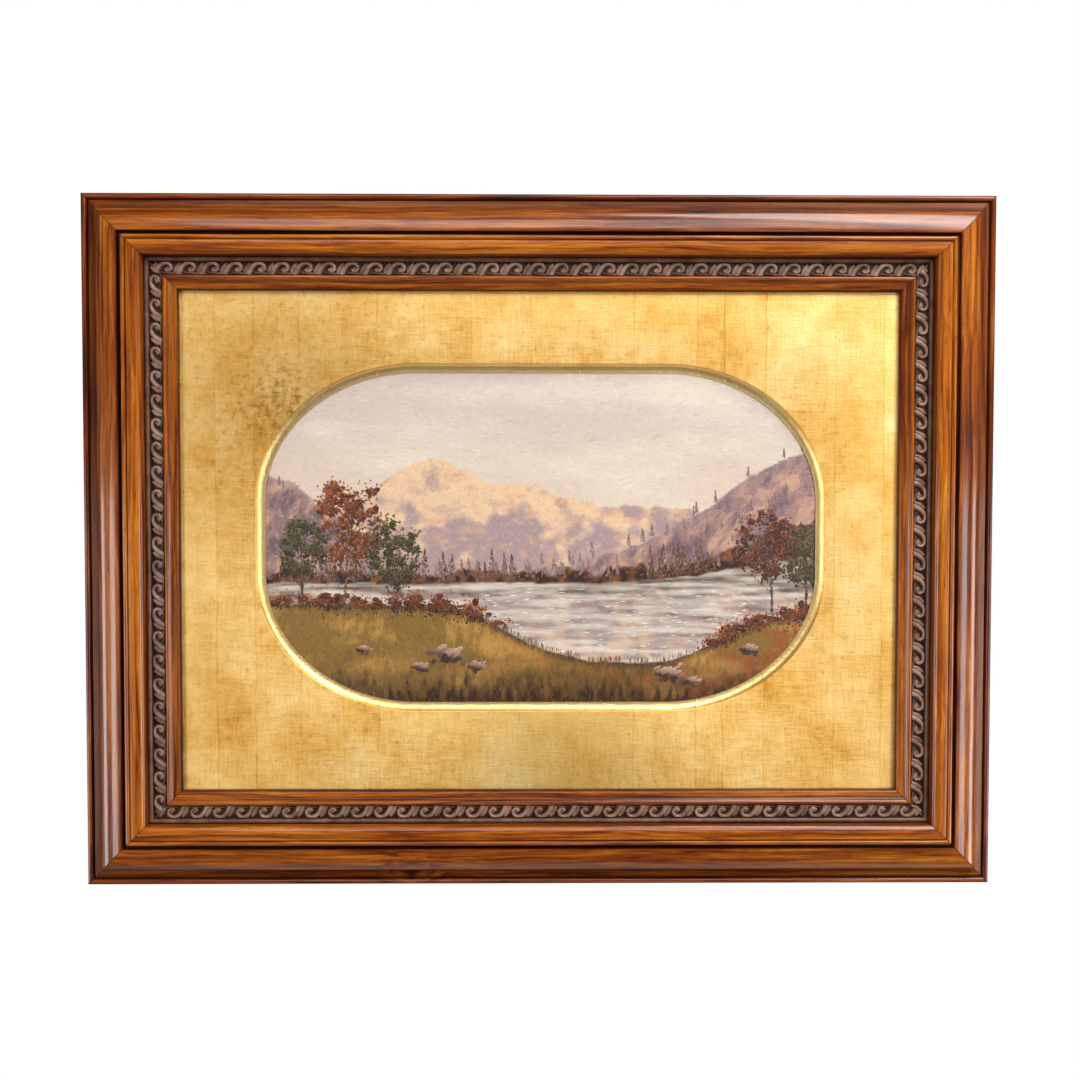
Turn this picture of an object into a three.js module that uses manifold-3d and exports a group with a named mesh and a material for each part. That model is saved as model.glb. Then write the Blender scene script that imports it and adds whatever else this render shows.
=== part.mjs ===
// A small framed oil painting. Four rails of one oak moulding are mitred together. A dark
// strip carved with a running wave scroll is let into a channel of each rail. In the rabbet
// behind the rails lie a gilded panel with a round-cornered window, the painted board that
// shows through it, and a backing board.
//
// Millimetres, +Z up. The front faces -Y and the back of the rails is the plane y = 0, so a
// height above the back, h, is y = -h. The origin is the middle of the top rail's back face,
// the place that bears on the wall.
//
// A rail's section is drawn with u, the distance inward from the frame's outer edge, and h.

import * as THREE from 'three';
import { mergeVertices } from 'three/addons/utils/BufferGeometryUtils.js';
import Module from 'manifold-3d';

// The frame as a whole.
const FRAME_WIDTH = 645;
const FRAME_HEIGHT = 490;
const RAIL_WIDTH = 68;
const LIP_OVERHANG = 6.5;
const PIECE_GAP = 0.3;
const MITRE_GAP = 0.2;

// Heights and breadths of the oak moulding, from its outer edge to its sight edge.
const EDGE_BEAD = { springs: 16, radius: 1.95 };
const EDGE_QUIRK = { centre: 4.5, floor: 15.2 };
const FILLET = { start: 5.1, startHigh: 15.9, end: 10.3, endHigh: 16.5 };
const OVOLO = { start: 10.8, end: 28.5, low: 18.6, high: 29.2 };
const QUIRK = { start: 28.9, end: 30.6, floor: 26.4 };
const ARRIS_BEAD = { start: 31.2, radius: 1.6, springs: 28.8 };
const FINE_QUIRK = { centre: 34.8, floor: 29.6 };
const TOP_FLAT = { start: 35.6, startHigh: 30.5, high: 30.8, end: 38.6 };
const SHOULDER = { flatPull: 3, rimPullIn: 1.1, rimPullUp: 1.6 };
const CHANNEL = { start: 44.7, end: 57.7, floor: 17.5, rim: 28 };
const LIP_BEAD = { radius: 1.7, springs: 20.8 };
const LIP_SCOOP = { pull: 1.9, end: 63.4, floor: 20 };
const LIP = { crownAt: 67.4, crown: 20.4, sightTop: 17.6 };
const RABBET_CEILING = 15.3;

// The strip that lies in the channel, and the scroll carved on it.
const STRIP_FILLET = { width: 3.1, springs: 20.6, top: 21.9 };
const STRIP_QUIRK = { width: 0.9, floor: 18.9 };
const STRIP_GROUND = 19.3;
const WAVE_TOP = 21.3;
const WAVE_ROOT = 18.6;
const WAVE_PITCH_AIM = 16.8;
const WAVE_EYE_HEIGHT = 4.3;
const WAVE_START_ANGLE = THREE.MathUtils.degToRad(205);
const WAVE_SWEEP = 6;
const WAVE_STEPS = 6;
const WAVE_SPIRAL = { radius: 4.2, stemReach: 5.4, stemFade: 1.5, closing: 0.45 };
const WAVE_BREADTH = { half: 1.0, atRoot: 0.4, atEye: 0.15 };

// The gilded panel's window: its sight size, its elliptical corners and its hollow edge.
const WINDOW_WIDTH = 393.4;
const WINDOW_HEIGHT = 235.8;
const WINDOW_LIFT = 2.7;
const WINDOW_SHIFT = 0.9;
const WINDOW_CORNER = { across: 108, up: 92 };
const WINDOW_COVE = { spread: 6.2, depth: 4.4, steps: 5 };
const WINDOW_CORNER_STEPS = 8;
const OVERCUT = 2;

// The sheets in the rabbet, from the front to the back.
const MAT_THICKNESS = 5.1;
const BOARD_THICKNESS = 3;
const BACKING_THICKNESS = 3;
const RABBET_CLEARANCE = 0.5;

// Fineness of the solids.
const PROFILE_CURVE_STEPS = 3;
const MERGE_DISTANCE = 1e-5;

// Sizes that follow.
const BACK_FACE_WIDTH = RAIL_WIDTH - LIP_OVERHANG;
const TOP_EDGE_Z = BACK_FACE_WIDTH / 2;
const FRAME_CENTRE_Z = TOP_EDGE_Z - FRAME_HEIGHT / 2;
const STRIP_START = CHANNEL.start + PIECE_GAP;
const STRIP_END = CHANNEL.end - PIECE_GAP;
const STRIP_BASE = CHANNEL.floor + PIECE_GAP;
const CARVED_START = STRIP_START + STRIP_FILLET.width + STRIP_QUIRK.width;
const MAT_FRONT = RABBET_CEILING - PIECE_GAP;
const MAT_BACK = MAT_FRONT - MAT_THICKNESS;
const SHEET_WIDTH = FRAME_WIDTH - 2 * (BACK_FACE_WIDTH + RABBET_CLEARANCE);
const SHEET_HEIGHT = FRAME_HEIGHT - 2 * (BACK_FACE_WIDTH + RABBET_CLEARANCE);

const SIDES = [
  { name: 'top', length: FRAME_WIDTH, reach: FRAME_HEIGHT / 2, turn: 0 },
  { name: 'right', length: FRAME_HEIGHT, reach: FRAME_WIDTH / 2, turn: Math.PI / 2 },
  { name: 'bottom', length: FRAME_WIDTH, reach: FRAME_HEIGHT / 2, turn: Math.PI },
  { name: 'left', length: FRAME_HEIGHT, reach: FRAME_WIDTH / 2, turn: -Math.PI / 2 },
];

const oak = new THREE.MeshStandardMaterial({ color: '#7a3a14', roughness: 0.38, metalness: 0 });
const darkOak = new THREE.MeshStandardMaterial({ color: '#4a2c22', roughness: 0.5, metalness: 0 });
const goldLeaf = new THREE.MeshStandardMaterial({ color: '#e3b765', roughness: 0.42, metalness: 1 });
const paint = new THREE.MeshStandardMaterial({ color: '#b49a86', roughness: 0.5, metalness: 0 });
const plainBoard = new THREE.MeshStandardMaterial({ color: '#8c7355', roughness: 0.85, metalness: 0 });

const wasm = await Module();
wasm.setup();

function toSolid(geometry) {
  const bare = geometry.clone();
  bare.deleteAttribute('normal');
  bare.deleteAttribute('uv');
  const merged = mergeVertices(bare, MERGE_DISTANCE);
  return new wasm.Manifold(new wasm.Mesh({
    numProp: 3,
    vertProperties: new Float32Array(merged.attributes.position.array),
    triVerts: new Uint32Array(merged.index.array),
  }));
}

function toGeometry(solid) {
  const mesh = solid.getMesh();
  const geometry = new THREE.BufferGeometry();
  geometry.setAttribute('position', new THREE.BufferAttribute(mesh.vertProperties, 3));
  geometry.setIndex(new THREE.BufferAttribute(mesh.triVerts, 1));
  geometry.computeVertexNormals();
  return geometry;
}

// The section of the oak moulding, drawn from the outer edge over the front to the rabbet.
function railSection() {
  const section = new THREE.Shape();
  section.moveTo(0, 0);
  section.lineTo(0, EDGE_BEAD.springs);
  section.absarc(EDGE_BEAD.radius, EDGE_BEAD.springs, EDGE_BEAD.radius, Math.PI, 0, true);
  section.lineTo(EDGE_QUIRK.centre, EDGE_QUIRK.floor);
  section.lineTo(FILLET.start, FILLET.startHigh);
  section.lineTo(FILLET.end, FILLET.endHigh);
  section.lineTo(OVOLO.start, OVOLO.low);
  const ovoloWidth = OVOLO.end - OVOLO.start;
  const ovoloRise = OVOLO.high - OVOLO.low;
  section.absellipse(OVOLO.end, OVOLO.low, ovoloWidth, ovoloRise, Math.PI, Math.PI / 2, true);
  section.lineTo(QUIRK.start, QUIRK.floor);
  section.lineTo(QUIRK.end, QUIRK.floor);
  section.lineTo(ARRIS_BEAD.start, ARRIS_BEAD.springs);
  const arrisCentre = ARRIS_BEAD.start + ARRIS_BEAD.radius;
  section.absarc(arrisCentre, ARRIS_BEAD.springs, ARRIS_BEAD.radius, Math.PI, 0, true);
  section.lineTo(FINE_QUIRK.centre, FINE_QUIRK.floor);
  section.lineTo(TOP_FLAT.start, TOP_FLAT.startHigh);
  section.lineTo(TOP_FLAT.end, TOP_FLAT.high);
  section.bezierCurveTo(
    TOP_FLAT.end + SHOULDER.flatPull, TOP_FLAT.high,
    CHANNEL.start - SHOULDER.rimPullIn, CHANNEL.rim + SHOULDER.rimPullUp,
    CHANNEL.start, CHANNEL.rim,
  );
  section.lineTo(CHANNEL.start, CHANNEL.floor);
  section.lineTo(CHANNEL.end, CHANNEL.floor);
  section.lineTo(CHANNEL.end, LIP_BEAD.springs);
  const lipBeadCentre = CHANNEL.end + LIP_BEAD.radius;
  section.absarc(lipBeadCentre, LIP_BEAD.springs, LIP_BEAD.radius, Math.PI, Math.PI / 2, true);
  section.bezierCurveTo(
    lipBeadCentre + LIP_SCOOP.pull, LIP_BEAD.springs + LIP_BEAD.radius,
    LIP_SCOOP.end - LIP_SCOOP.pull, LIP_SCOOP.floor,
    LIP_SCOOP.end, LIP_SCOOP.floor,
  );
  section.quadraticCurveTo(LIP.crownAt, LIP.crown, RAIL_WIDTH, LIP.sightTop);
  section.lineTo(RAIL_WIDTH, RABBET_CEILING);
  section.lineTo(BACK_FACE_WIDTH, RABBET_CEILING);
  section.lineTo(BACK_FACE_WIDTH, 0);
  section.closePath();
  return section;
}

// The strip's section: a round fillet at its outer side, a quirk, then the flat ground.
function stripSection() {
  const filletEnd = STRIP_START + STRIP_FILLET.width;
  const section = new THREE.Shape();
  section.moveTo(STRIP_START, STRIP_BASE);
  section.lineTo(STRIP_START, STRIP_FILLET.springs);
  section.absellipse(
    (STRIP_START + filletEnd) / 2, STRIP_FILLET.springs,
    STRIP_FILLET.width / 2, STRIP_FILLET.top - STRIP_FILLET.springs,
    Math.PI, 0, true,
  );
  section.lineTo(filletEnd, STRIP_QUIRK.floor);
  section.lineTo(CARVED_START, STRIP_QUIRK.floor);
  section.lineTo(CARVED_START, STRIP_GROUND);
  section.lineTo(STRIP_END, STRIP_GROUND);
  section.lineTo(STRIP_END, STRIP_BASE);
  section.closePath();
  return section;
}

// A bar of the given section along X, mitred at 45 degrees at both ends. Its outer edge lies
// on z = 0 and the section goes down from there, so u becomes -z and h becomes -y.
function mitredBar(section, length) {
  const bar = new THREE.ExtrudeGeometry(section, {
    depth: 1,
    bevelEnabled: false,
    curveSegments: PROFILE_CURVE_STEPS,
  });
  const points = bar.attributes.position;
  for (let i = 0; i < points.count; i += 1) {
    const u = points.getX(i);
    const h = points.getY(i);
    const half = length / 2 - u - MITRE_GAP;
    points.setXYZ(i, points.getZ(i) > 0.5 ? -half : half, -h, -u);
  }
  return bar;
}

// One wave of the scroll, seen from the front: a stem rises from the inner edge, arches over
// and curls in on its eye. The centre line is a spiral about the eye, and the outline
// follows it on both sides at half the stem's breadth.
function waveOutline() {
  const left = [];
  const right = [];
  for (let step = 0; step <= WAVE_STEPS; step += 1) {
    const along = step / WAVE_STEPS;
    const swept = along * WAVE_SWEEP;
    const stem = WAVE_SPIRAL.stemReach * Math.exp(-WAVE_SPIRAL.stemFade * swept);
    const radius = WAVE_SPIRAL.radius + stem - WAVE_SPIRAL.closing * swept;
    const rootSwell = WAVE_BREADTH.atRoot * Math.exp(-swept);
    const half = WAVE_BREADTH.half + rootSwell + WAVE_BREADTH.atEye * along ** 4;
    const angle = WAVE_START_ANGLE - swept;
    const ray = new THREE.Vector2(Math.cos(angle), Math.sin(angle));
    left.push(ray.clone().multiplyScalar(radius + half));
    right.push(ray.clone().multiplyScalar(radius - half));
  }
  const eye = new THREE.Vector2(0, WAVE_EYE_HEIGHT);
  return new THREE.Shape(left.concat(right.reverse()).map((point) => point.add(eye)));
}

// The strip with its row of waves, cut off at the mitres like the bar itself.
function carvedStrip(length) {
  let strip = toSolid(mitredBar(stripSection(), length));
  const wave = new THREE.ExtrudeGeometry(waveOutline(), {
    depth: WAVE_TOP - WAVE_ROOT,
    bevelEnabled: false,
  });
  wave.rotateX(Math.PI / 2);
  const runLength = length - (CARVED_START + STRIP_END);
  const count = Math.round(runLength / WAVE_PITCH_AIM);
  const pitch = runLength / count;
  const carvedBand = new THREE.Shape([
    new THREE.Vector2(CARVED_START, STRIP_BASE),
    new THREE.Vector2(CARVED_START, WAVE_TOP),
    new THREE.Vector2(STRIP_END, WAVE_TOP),
    new THREE.Vector2(STRIP_END, STRIP_BASE),
  ]);
  const limit = toSolid(mitredBar(carvedBand, length));
  for (let index = 0; index < count; index += 1) {
    const placed = wave.clone();
    placed.translate((index + 0.5 - count / 2) * pitch, -WAVE_ROOT, -STRIP_END);
    strip = strip.add(toSolid(placed).intersect(limit));
  }
  return toGeometry(strip);
}

// Moves a point of the window's outline straight outward by the given distance.
function pushOut(x, z, distance) {
  const cornerX = WINDOW_WIDTH / 2 - WINDOW_CORNER.across;
  const cornerZ = WINDOW_HEIGHT / 2 - WINDOW_CORNER.up;
  const alongX = THREE.MathUtils.clamp((Math.abs(x) - cornerX) / WINDOW_CORNER.across, 0, 1);
  const alongZ = THREE.MathUtils.clamp((Math.abs(z) - cornerZ) / WINDOW_CORNER.up, 0, 1);
  return [x + Math.sign(x) * distance * alongX, z + Math.sign(z) * distance * alongZ];
}

function windowOutline() {
  const cornerX = WINDOW_WIDTH / 2 - WINDOW_CORNER.across;
  const cornerZ = WINDOW_HEIGHT / 2 - WINDOW_CORNER.up;
  const { across, up } = WINDOW_CORNER;
  const outline = new THREE.Shape();
  outline.moveTo(WINDOW_WIDTH / 2, cornerZ);
  outline.absellipse(cornerX, cornerZ, across, up, 0, Math.PI / 2, false);
  outline.absellipse(-cornerX, cornerZ, across, up, Math.PI / 2, Math.PI, false);
  outline.absellipse(-cornerX, -cornerZ, across, up, Math.PI, 1.5 * Math.PI, false);
  outline.absellipse(cornerX, -cornerZ, across, up, 1.5 * Math.PI, 2 * Math.PI, false);
  return outline;
}

// The solid that the window takes out of the panel. Up from the back it is straight, then
// it spreads in a hollow quarter round to the panel's front, and runs on straight.
function windowCutter() {
  const levels = [
    { spread: 0, height: MAT_BACK - OVERCUT },
  ];
  for (let step = 0; step <= WINDOW_COVE.steps; step += 1) {
    const angle = (step / WINDOW_COVE.steps) * (Math.PI / 2);
    levels.push({
      spread: WINDOW_COVE.spread * Math.sin(angle),
      height: MAT_FRONT - WINDOW_COVE.depth * Math.cos(angle),
    });
  }
  levels.push({ spread: WINDOW_COVE.spread, height: MAT_FRONT + OVERCUT });
  const steps = levels.length - 1;
  const cutter = new THREE.ExtrudeGeometry(windowOutline(), {
    depth: steps,
    steps,
    bevelEnabled: false,
    curveSegments: WINDOW_CORNER_STEPS / 2,
  });
  const points = cutter.attributes.position;
  for (let i = 0; i < points.count; i += 1) {
    const level = levels[Math.round(points.getZ(i))];
    const [x, z] = pushOut(points.getX(i), points.getY(i), level.spread);
    points.setXYZ(i, x, -level.height, z);
  }
  return cutter;
}

function gildedMat() {
  const plate = new THREE.BoxGeometry(SHEET_WIDTH, MAT_THICKNESS, SHEET_HEIGHT);
  plate.translate(0, -(MAT_FRONT + MAT_BACK) / 2, 0);
  const cutter = windowCutter();
  cutter.translate(WINDOW_SHIFT, 0, WINDOW_LIFT);
  return toGeometry(toSolid(plate).subtract(toSolid(cutter)));
}

function sheet(front, thickness) {
  const plate = new THREE.BoxGeometry(SHEET_WIDTH, thickness, SHEET_HEIGHT);
  plate.translate(0, -(front - thickness / 2), 0);
  return plate;
}

function namedMesh(name, geometry, material) {
  const mesh = new THREE.Mesh(geometry, material.clone());
  mesh.name = name;
  return mesh;
}

const painting = new THREE.Group();

for (const side of SIDES) {
  const arm = new THREE.Group();
  arm.position.z = FRAME_CENTRE_Z;
  arm.rotation.y = side.turn;
  const rail = namedMesh(`rail_${side.name}`, mitredBar(railSection(), side.length), oak);
  const strip = namedMesh(`scroll_strip_${side.name}`, carvedStrip(side.length), darkOak);
  rail.position.z = side.reach;
  strip.position.z = side.reach;
  arm.add(rail, strip);
  painting.add(arm);
}

const boardFront = MAT_BACK - PIECE_GAP;
const backingFront = boardFront - BOARD_THICKNESS - PIECE_GAP;
const rabbetContents = new THREE.Group();
rabbetContents.position.z = FRAME_CENTRE_Z;
rabbetContents.add(
  namedMesh('gilded_mat', gildedMat(), goldLeaf),
  namedMesh('painted_board', sheet(boardFront, BOARD_THICKNESS), paint),
  namedMesh('backing_board', sheet(backingFront, BACKING_THICKNESS), plainBoard),
);
painting.add(rabbetContents);

export default painting;
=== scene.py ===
# %% [markdown]
# # A small framed oil painting
#
# The object is a landscape in oils behind a gilded panel, in a frame of stained oak. The
# rails are lengths of one moulding, mitred at the corners, and a dark strip carved with a
# running wave is let into each of them. This lesson dresses a fixed set of CAD solids: the
# solids give every size and place, and the script gives each piece its fine surface and
# its finish. All lengths are worked out in metres, from millimetres.

# %% Load the fixed frame
import math

import bmesh
import bpy
import numpy as np
from mathutils import Matrix, Vector


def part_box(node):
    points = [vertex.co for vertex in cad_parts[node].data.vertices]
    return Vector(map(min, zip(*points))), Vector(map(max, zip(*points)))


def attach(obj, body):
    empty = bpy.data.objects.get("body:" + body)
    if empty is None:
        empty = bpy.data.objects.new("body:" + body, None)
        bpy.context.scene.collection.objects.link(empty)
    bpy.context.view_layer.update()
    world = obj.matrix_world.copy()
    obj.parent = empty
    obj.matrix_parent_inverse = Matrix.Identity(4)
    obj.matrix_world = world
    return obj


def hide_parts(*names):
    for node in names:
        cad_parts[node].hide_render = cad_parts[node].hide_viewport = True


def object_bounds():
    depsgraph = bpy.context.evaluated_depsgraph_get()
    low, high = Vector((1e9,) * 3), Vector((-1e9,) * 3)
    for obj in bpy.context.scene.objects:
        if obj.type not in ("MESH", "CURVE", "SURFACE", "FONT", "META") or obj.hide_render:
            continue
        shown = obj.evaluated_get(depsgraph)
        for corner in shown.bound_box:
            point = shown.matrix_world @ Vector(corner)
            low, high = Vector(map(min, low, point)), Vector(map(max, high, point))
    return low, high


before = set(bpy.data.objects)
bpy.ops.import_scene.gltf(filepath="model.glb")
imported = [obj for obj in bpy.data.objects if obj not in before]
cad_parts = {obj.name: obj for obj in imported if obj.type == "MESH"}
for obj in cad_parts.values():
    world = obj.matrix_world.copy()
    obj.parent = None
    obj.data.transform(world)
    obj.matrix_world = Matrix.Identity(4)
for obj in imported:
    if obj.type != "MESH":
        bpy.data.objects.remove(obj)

MM = 0.001
CAD_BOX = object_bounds()
scene = bpy.context.scene


def in_mm(box):
    return [[round(value / MM, 1) for value in corner] for corner in box]


print("CAD box, mm:", in_mm(CAD_BOX))

# %% [markdown]
# ## Where things are
#
# The frame hangs with its back on the plane y = 0 and looks towards -Y. A moulding is
# easiest to describe by its section: u runs inward from the frame's outer edge and h is the
# height above the back. Every rail is the same section run along its side, so one set of
# names serves all four.

# %% Sizes that come from the CAD solids
OUTER_LOW, OUTER_HIGH = CAD_BOX
FRAME_WIDTH = OUTER_HIGH.x - OUTER_LOW.x
FRAME_HEIGHT = OUTER_HIGH.z - OUTER_LOW.z
FRAME_CENTRE = Vector((0, 0, (OUTER_HIGH.z + OUTER_LOW.z) / 2))
rail_low, rail_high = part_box("rail_top")
RAIL_WIDTH = rail_high.z - rail_low.z
# Each side's length, how far it is from the middle, and its turn about Y.
SIDES = {
    "top": (FRAME_WIDTH, FRAME_HEIGHT / 2, 0),
    "right": (FRAME_HEIGHT, FRAME_WIDTH / 2, math.pi / 2),
    "bottom": (FRAME_WIDTH, FRAME_HEIGHT / 2, math.pi),
    "left": (FRAME_HEIGHT, FRAME_WIDTH / 2, -math.pi / 2),
}
MITRE_GAP = 0.02 * MM
print("rail width, mm:", round(RAIL_WIDTH / MM, 1))

# %% [markdown]
# ## Camera
#
# A 40 mm lens from 85 cm away is near enough to show relief: the high mouldings lean outward
# over the low ones, on all four sides. The camera stands a little above the middle of the
# frame and looks slightly down, so the upper edge is a touch longer than the lower one.

# %% Make the camera
CAMERA_DISTANCE = 0.8527
CAMERA_RISE = math.radians(1.87)
CAMERA_SWING = math.radians(0.6)
CAMERA_ROLL = math.radians(0.05)
AIM_LIFT = 1.43 * MM
FRONT_OF_EDGE = 16.5 * MM

camera_data = bpy.data.cameras.new("camera")
camera_data.lens = 40
camera = bpy.data.objects.new("camera", camera_data)
scene.collection.objects.link(camera)
scene.camera = camera
aim = FRAME_CENTRE + Vector((0, -FRONT_OF_EDGE, AIM_LIFT))
back_along = Vector((
    -math.sin(CAMERA_SWING) * math.cos(CAMERA_RISE),
    -math.cos(CAMERA_SWING) * math.cos(CAMERA_RISE),
    math.sin(CAMERA_RISE),
))
camera.location = aim + back_along * CAMERA_DISTANCE
turn = (-back_along).to_track_quat("-Z", "Y").to_matrix() @ Matrix.Rotation(CAMERA_ROLL, 3, "Z")
camera.rotation_euler = turn.to_euler()
print("camera at, mm:", [round(value / MM) for value in camera.location])

# %% [markdown]
# ## Light and surroundings
#
# Varnished mouldings are drawn by what they reflect, so each light is there for a gleam. A
# large soft panel overhead to the right lays a broad sheen on the top rail, and a wide one
# high in front lights the gilding. Two narrow upright panels stand low on each side, and
# draw the two fine lines along the side rails. One more panel lights the back. The rest of
# the room is dim, which keeps the stain deep. The background is white, and it lights the
# object less than it shows.

# %% Make the lights, the background and the floor
def soft_light(name, place, size, glow):
    """An area light that faces the middle of the frame. Its glow is its radiance."""
    data = bpy.data.lights.new(name, "AREA")
    data.shape = "RECTANGLE"
    data.size, data.size_y = size
    data.energy = glow * math.pi * size[0] * size[1]
    lamp = bpy.data.objects.new(name, data)
    lamp.location = FRAME_CENTRE + Vector(place)
    lamp.rotation_euler = (-Vector(place)).to_track_quat("-Z", "Y").to_euler()
    lamp.visible_camera = False
    scene.collection.objects.link(lamp)


soft_light("overhead_right", (0.66, -0.72, 1.15), (0.52, 1.4), 10.0)
soft_light("front_high", (0.15, -1.6, 1.3), (1.9, 0.9), 4.0)
soft_light("behind", (-0.5, 1.5, 1.0), (1.2, 0.9), 5.0)
UPRIGHT_PANEL = (0.4, 0.7)
for side_name, direction in (("left", -1), ("right", 1)):
    soft_light(f"low_{side_name}_front", (1.16 * direction, -1.13, -0.3), UPRIGHT_PANEL, 8.5)
    soft_light(f"low_{side_name}_side", (1.47 * direction, -0.3, -0.3), UPRIGHT_PANEL, 8.0)

WORLD_GLOW = 0.1
world = bpy.data.worlds.new("white_surroundings")
world.use_nodes = True
scene.world = world
sky = world.node_tree
seen = sky.nodes["Background"]
seen.inputs["Color"].default_value = (1, 1, 1, 1)
seen.inputs["Strength"].default_value = 1.0
lit = sky.nodes.new("ShaderNodeBackground")
lit.inputs["Color"].default_value = (1, 0.985, 0.97, 1)
lit.inputs["Strength"].default_value = WORLD_GLOW
choice = sky.nodes.new("ShaderNodeMixShader")
path = sky.nodes.new("ShaderNodeLightPath")
sky.links.new(path.outputs["Is Camera Ray"], choice.inputs[0])
sky.links.new(lit.outputs[0], choice.inputs[1])
sky.links.new(seen.outputs[0], choice.inputs[2])
sky.links.new(choice.outputs[0], sky.nodes["World Output"].inputs["Surface"])
scene.view_settings.view_transform = "Standard"

FLOOR_DROP = 1.5
FLOOR_RADIUS = 0.9
floor_bm = bmesh.new()
bmesh.ops.create_circle(floor_bm, cap_ends=True, segments=96, radius=FLOOR_RADIUS)
bmesh.ops.translate(floor_bm, verts=floor_bm.verts, vec=(0, 0, OUTER_LOW.z - FLOOR_DROP))
floor_mesh = bpy.data.meshes.new("floor")
floor_bm.to_mesh(floor_mesh)
floor_bm.free()
floor = bpy.data.objects.new("floor", floor_mesh)
scene.collection.objects.link(floor)

# %% [markdown]
# ## Helpers for materials
#
# Colours are written the way a paint maker's card gives them, as sRGB hex, and one function
# turns them to the linear values that a shader works in. One small function adds a node,
# sets it up, links it and gives back its output, so that each material reads as a list of
# what it is made of. The part that fills a node's inputs stands apart from it, because the
# finished shader takes its inputs in the same way.

# %% Colour and node helpers
def linear(hex_code):
    """An sRGB colour such as '#8a4a1c' as linear red, green, blue and alpha."""
    parts = [int(hex_code[i:i + 2], 16) / 255 for i in (1, 3, 5)]
    return (*[p / 12.92 if p <= 0.04045 else ((p + 0.055) / 1.055) ** 2.4 for p in parts], 1)


def feed(node, feeds):
    """Gives each named input of a node a plain value or another node's output."""
    for name, value in feeds.items():
        if isinstance(value, bpy.types.NodeSocket):
            node.id_data.links.new(value, node.inputs[name])
        else:
            node.inputs[name].default_value = value


def add(tree, kind, feeds=None, stops=None, output=0, **settings):
    """Adds a node and returns one of its outputs. Settings are its properties, feeds go to
    its inputs, and stops are the (place, colour) pairs of a colour ramp."""
    node = tree.nodes.new("ShaderNode" + kind)
    for name, value in settings.items():
        setattr(node, name, value)
    feed(node, feeds or {})
    for index, (place, colour) in enumerate(stops or []):
        ramp = node.color_ramp.elements
        stop = ramp[index] if index < 2 else ramp.new(place)
        stop.position = place
        stop.color = linear(colour)
    return node.outputs[output]


def new_material(name):
    """An empty node material, with its tree and its Principled shader."""
    material = bpy.data.materials.new(name)
    material.use_nodes = True
    return material, material.node_tree, material.node_tree.nodes["Principled BSDF"]


floor_material, _, floor_shader = new_material("pale_matt_floor")
feed(floor_shader, {"Base Color": linear("#f1efec"), "Roughness": 0.9})
floor.data.materials.append(floor_material)

# %% [markdown]
# ## Stained oak under satin varnish
#
# The rails are oak, stained red-brown and varnished. The grain runs along each rail, so its
# pattern is drawn out along one axis: broad drifts of colour, streaks a few millimetres
# wide, and the fine dark pores that give oak its dashes. Where hands and dusters have worn
# the stain, on the high flat and its shoulders, the wood is orange. The quirks and grooves
# are darkened, partly by dirt and partly as painted shade. Both come from attributes on
# the rail, because they follow the moulding and not the grain. The varnish is a clear
# coat, which is smoother than the wood under it.

# %% Make the oak
# Each layer of the grain: the length and width of its marks, then how detailed and how
# rough its noise is. Oak pores are about 0.2 mm wide. They are drawn at three times that,
# so that they show.
GRAIN_LAYERS = {
    "drift": (300 * MM, 26 * MM, 2, 0.5),
    "streak": (130 * MM, 3 * MM, 3, 0.55),
    "thread": (45 * MM, 0.9 * MM, 2, 0.5),
    "pore": (14 * MM, 0.6 * MM, 2, 0.5),
}
# Grain never runs quite true: over a hand's breadth it wanders by a few millimetres.
WANDER_LENGTH = 110 * MM
WANDER_BY = 9 * MM
# The grain bends round the knot, which has a dark heart with a soft edge.
KNOT_REACH, KNOT_BEND = 28 * MM, 7 * MM
KNOT_HEART, KNOT_RIM = 2.2 * MM, 6.5 * MM
BROWN_STOPS = [
    (0.3, "#220701"), (0.42, "#4c1905"), (0.5, "#682a09"), (0.58, "#80390e"), (0.72, "#a85924"),
]
ORANGE_STOPS = [
    (0.3, "#481803"), (0.42, "#823906"), (0.5, "#a05308"), (0.58, "#b36510"), (0.72, "#ca8328"),
]


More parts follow.
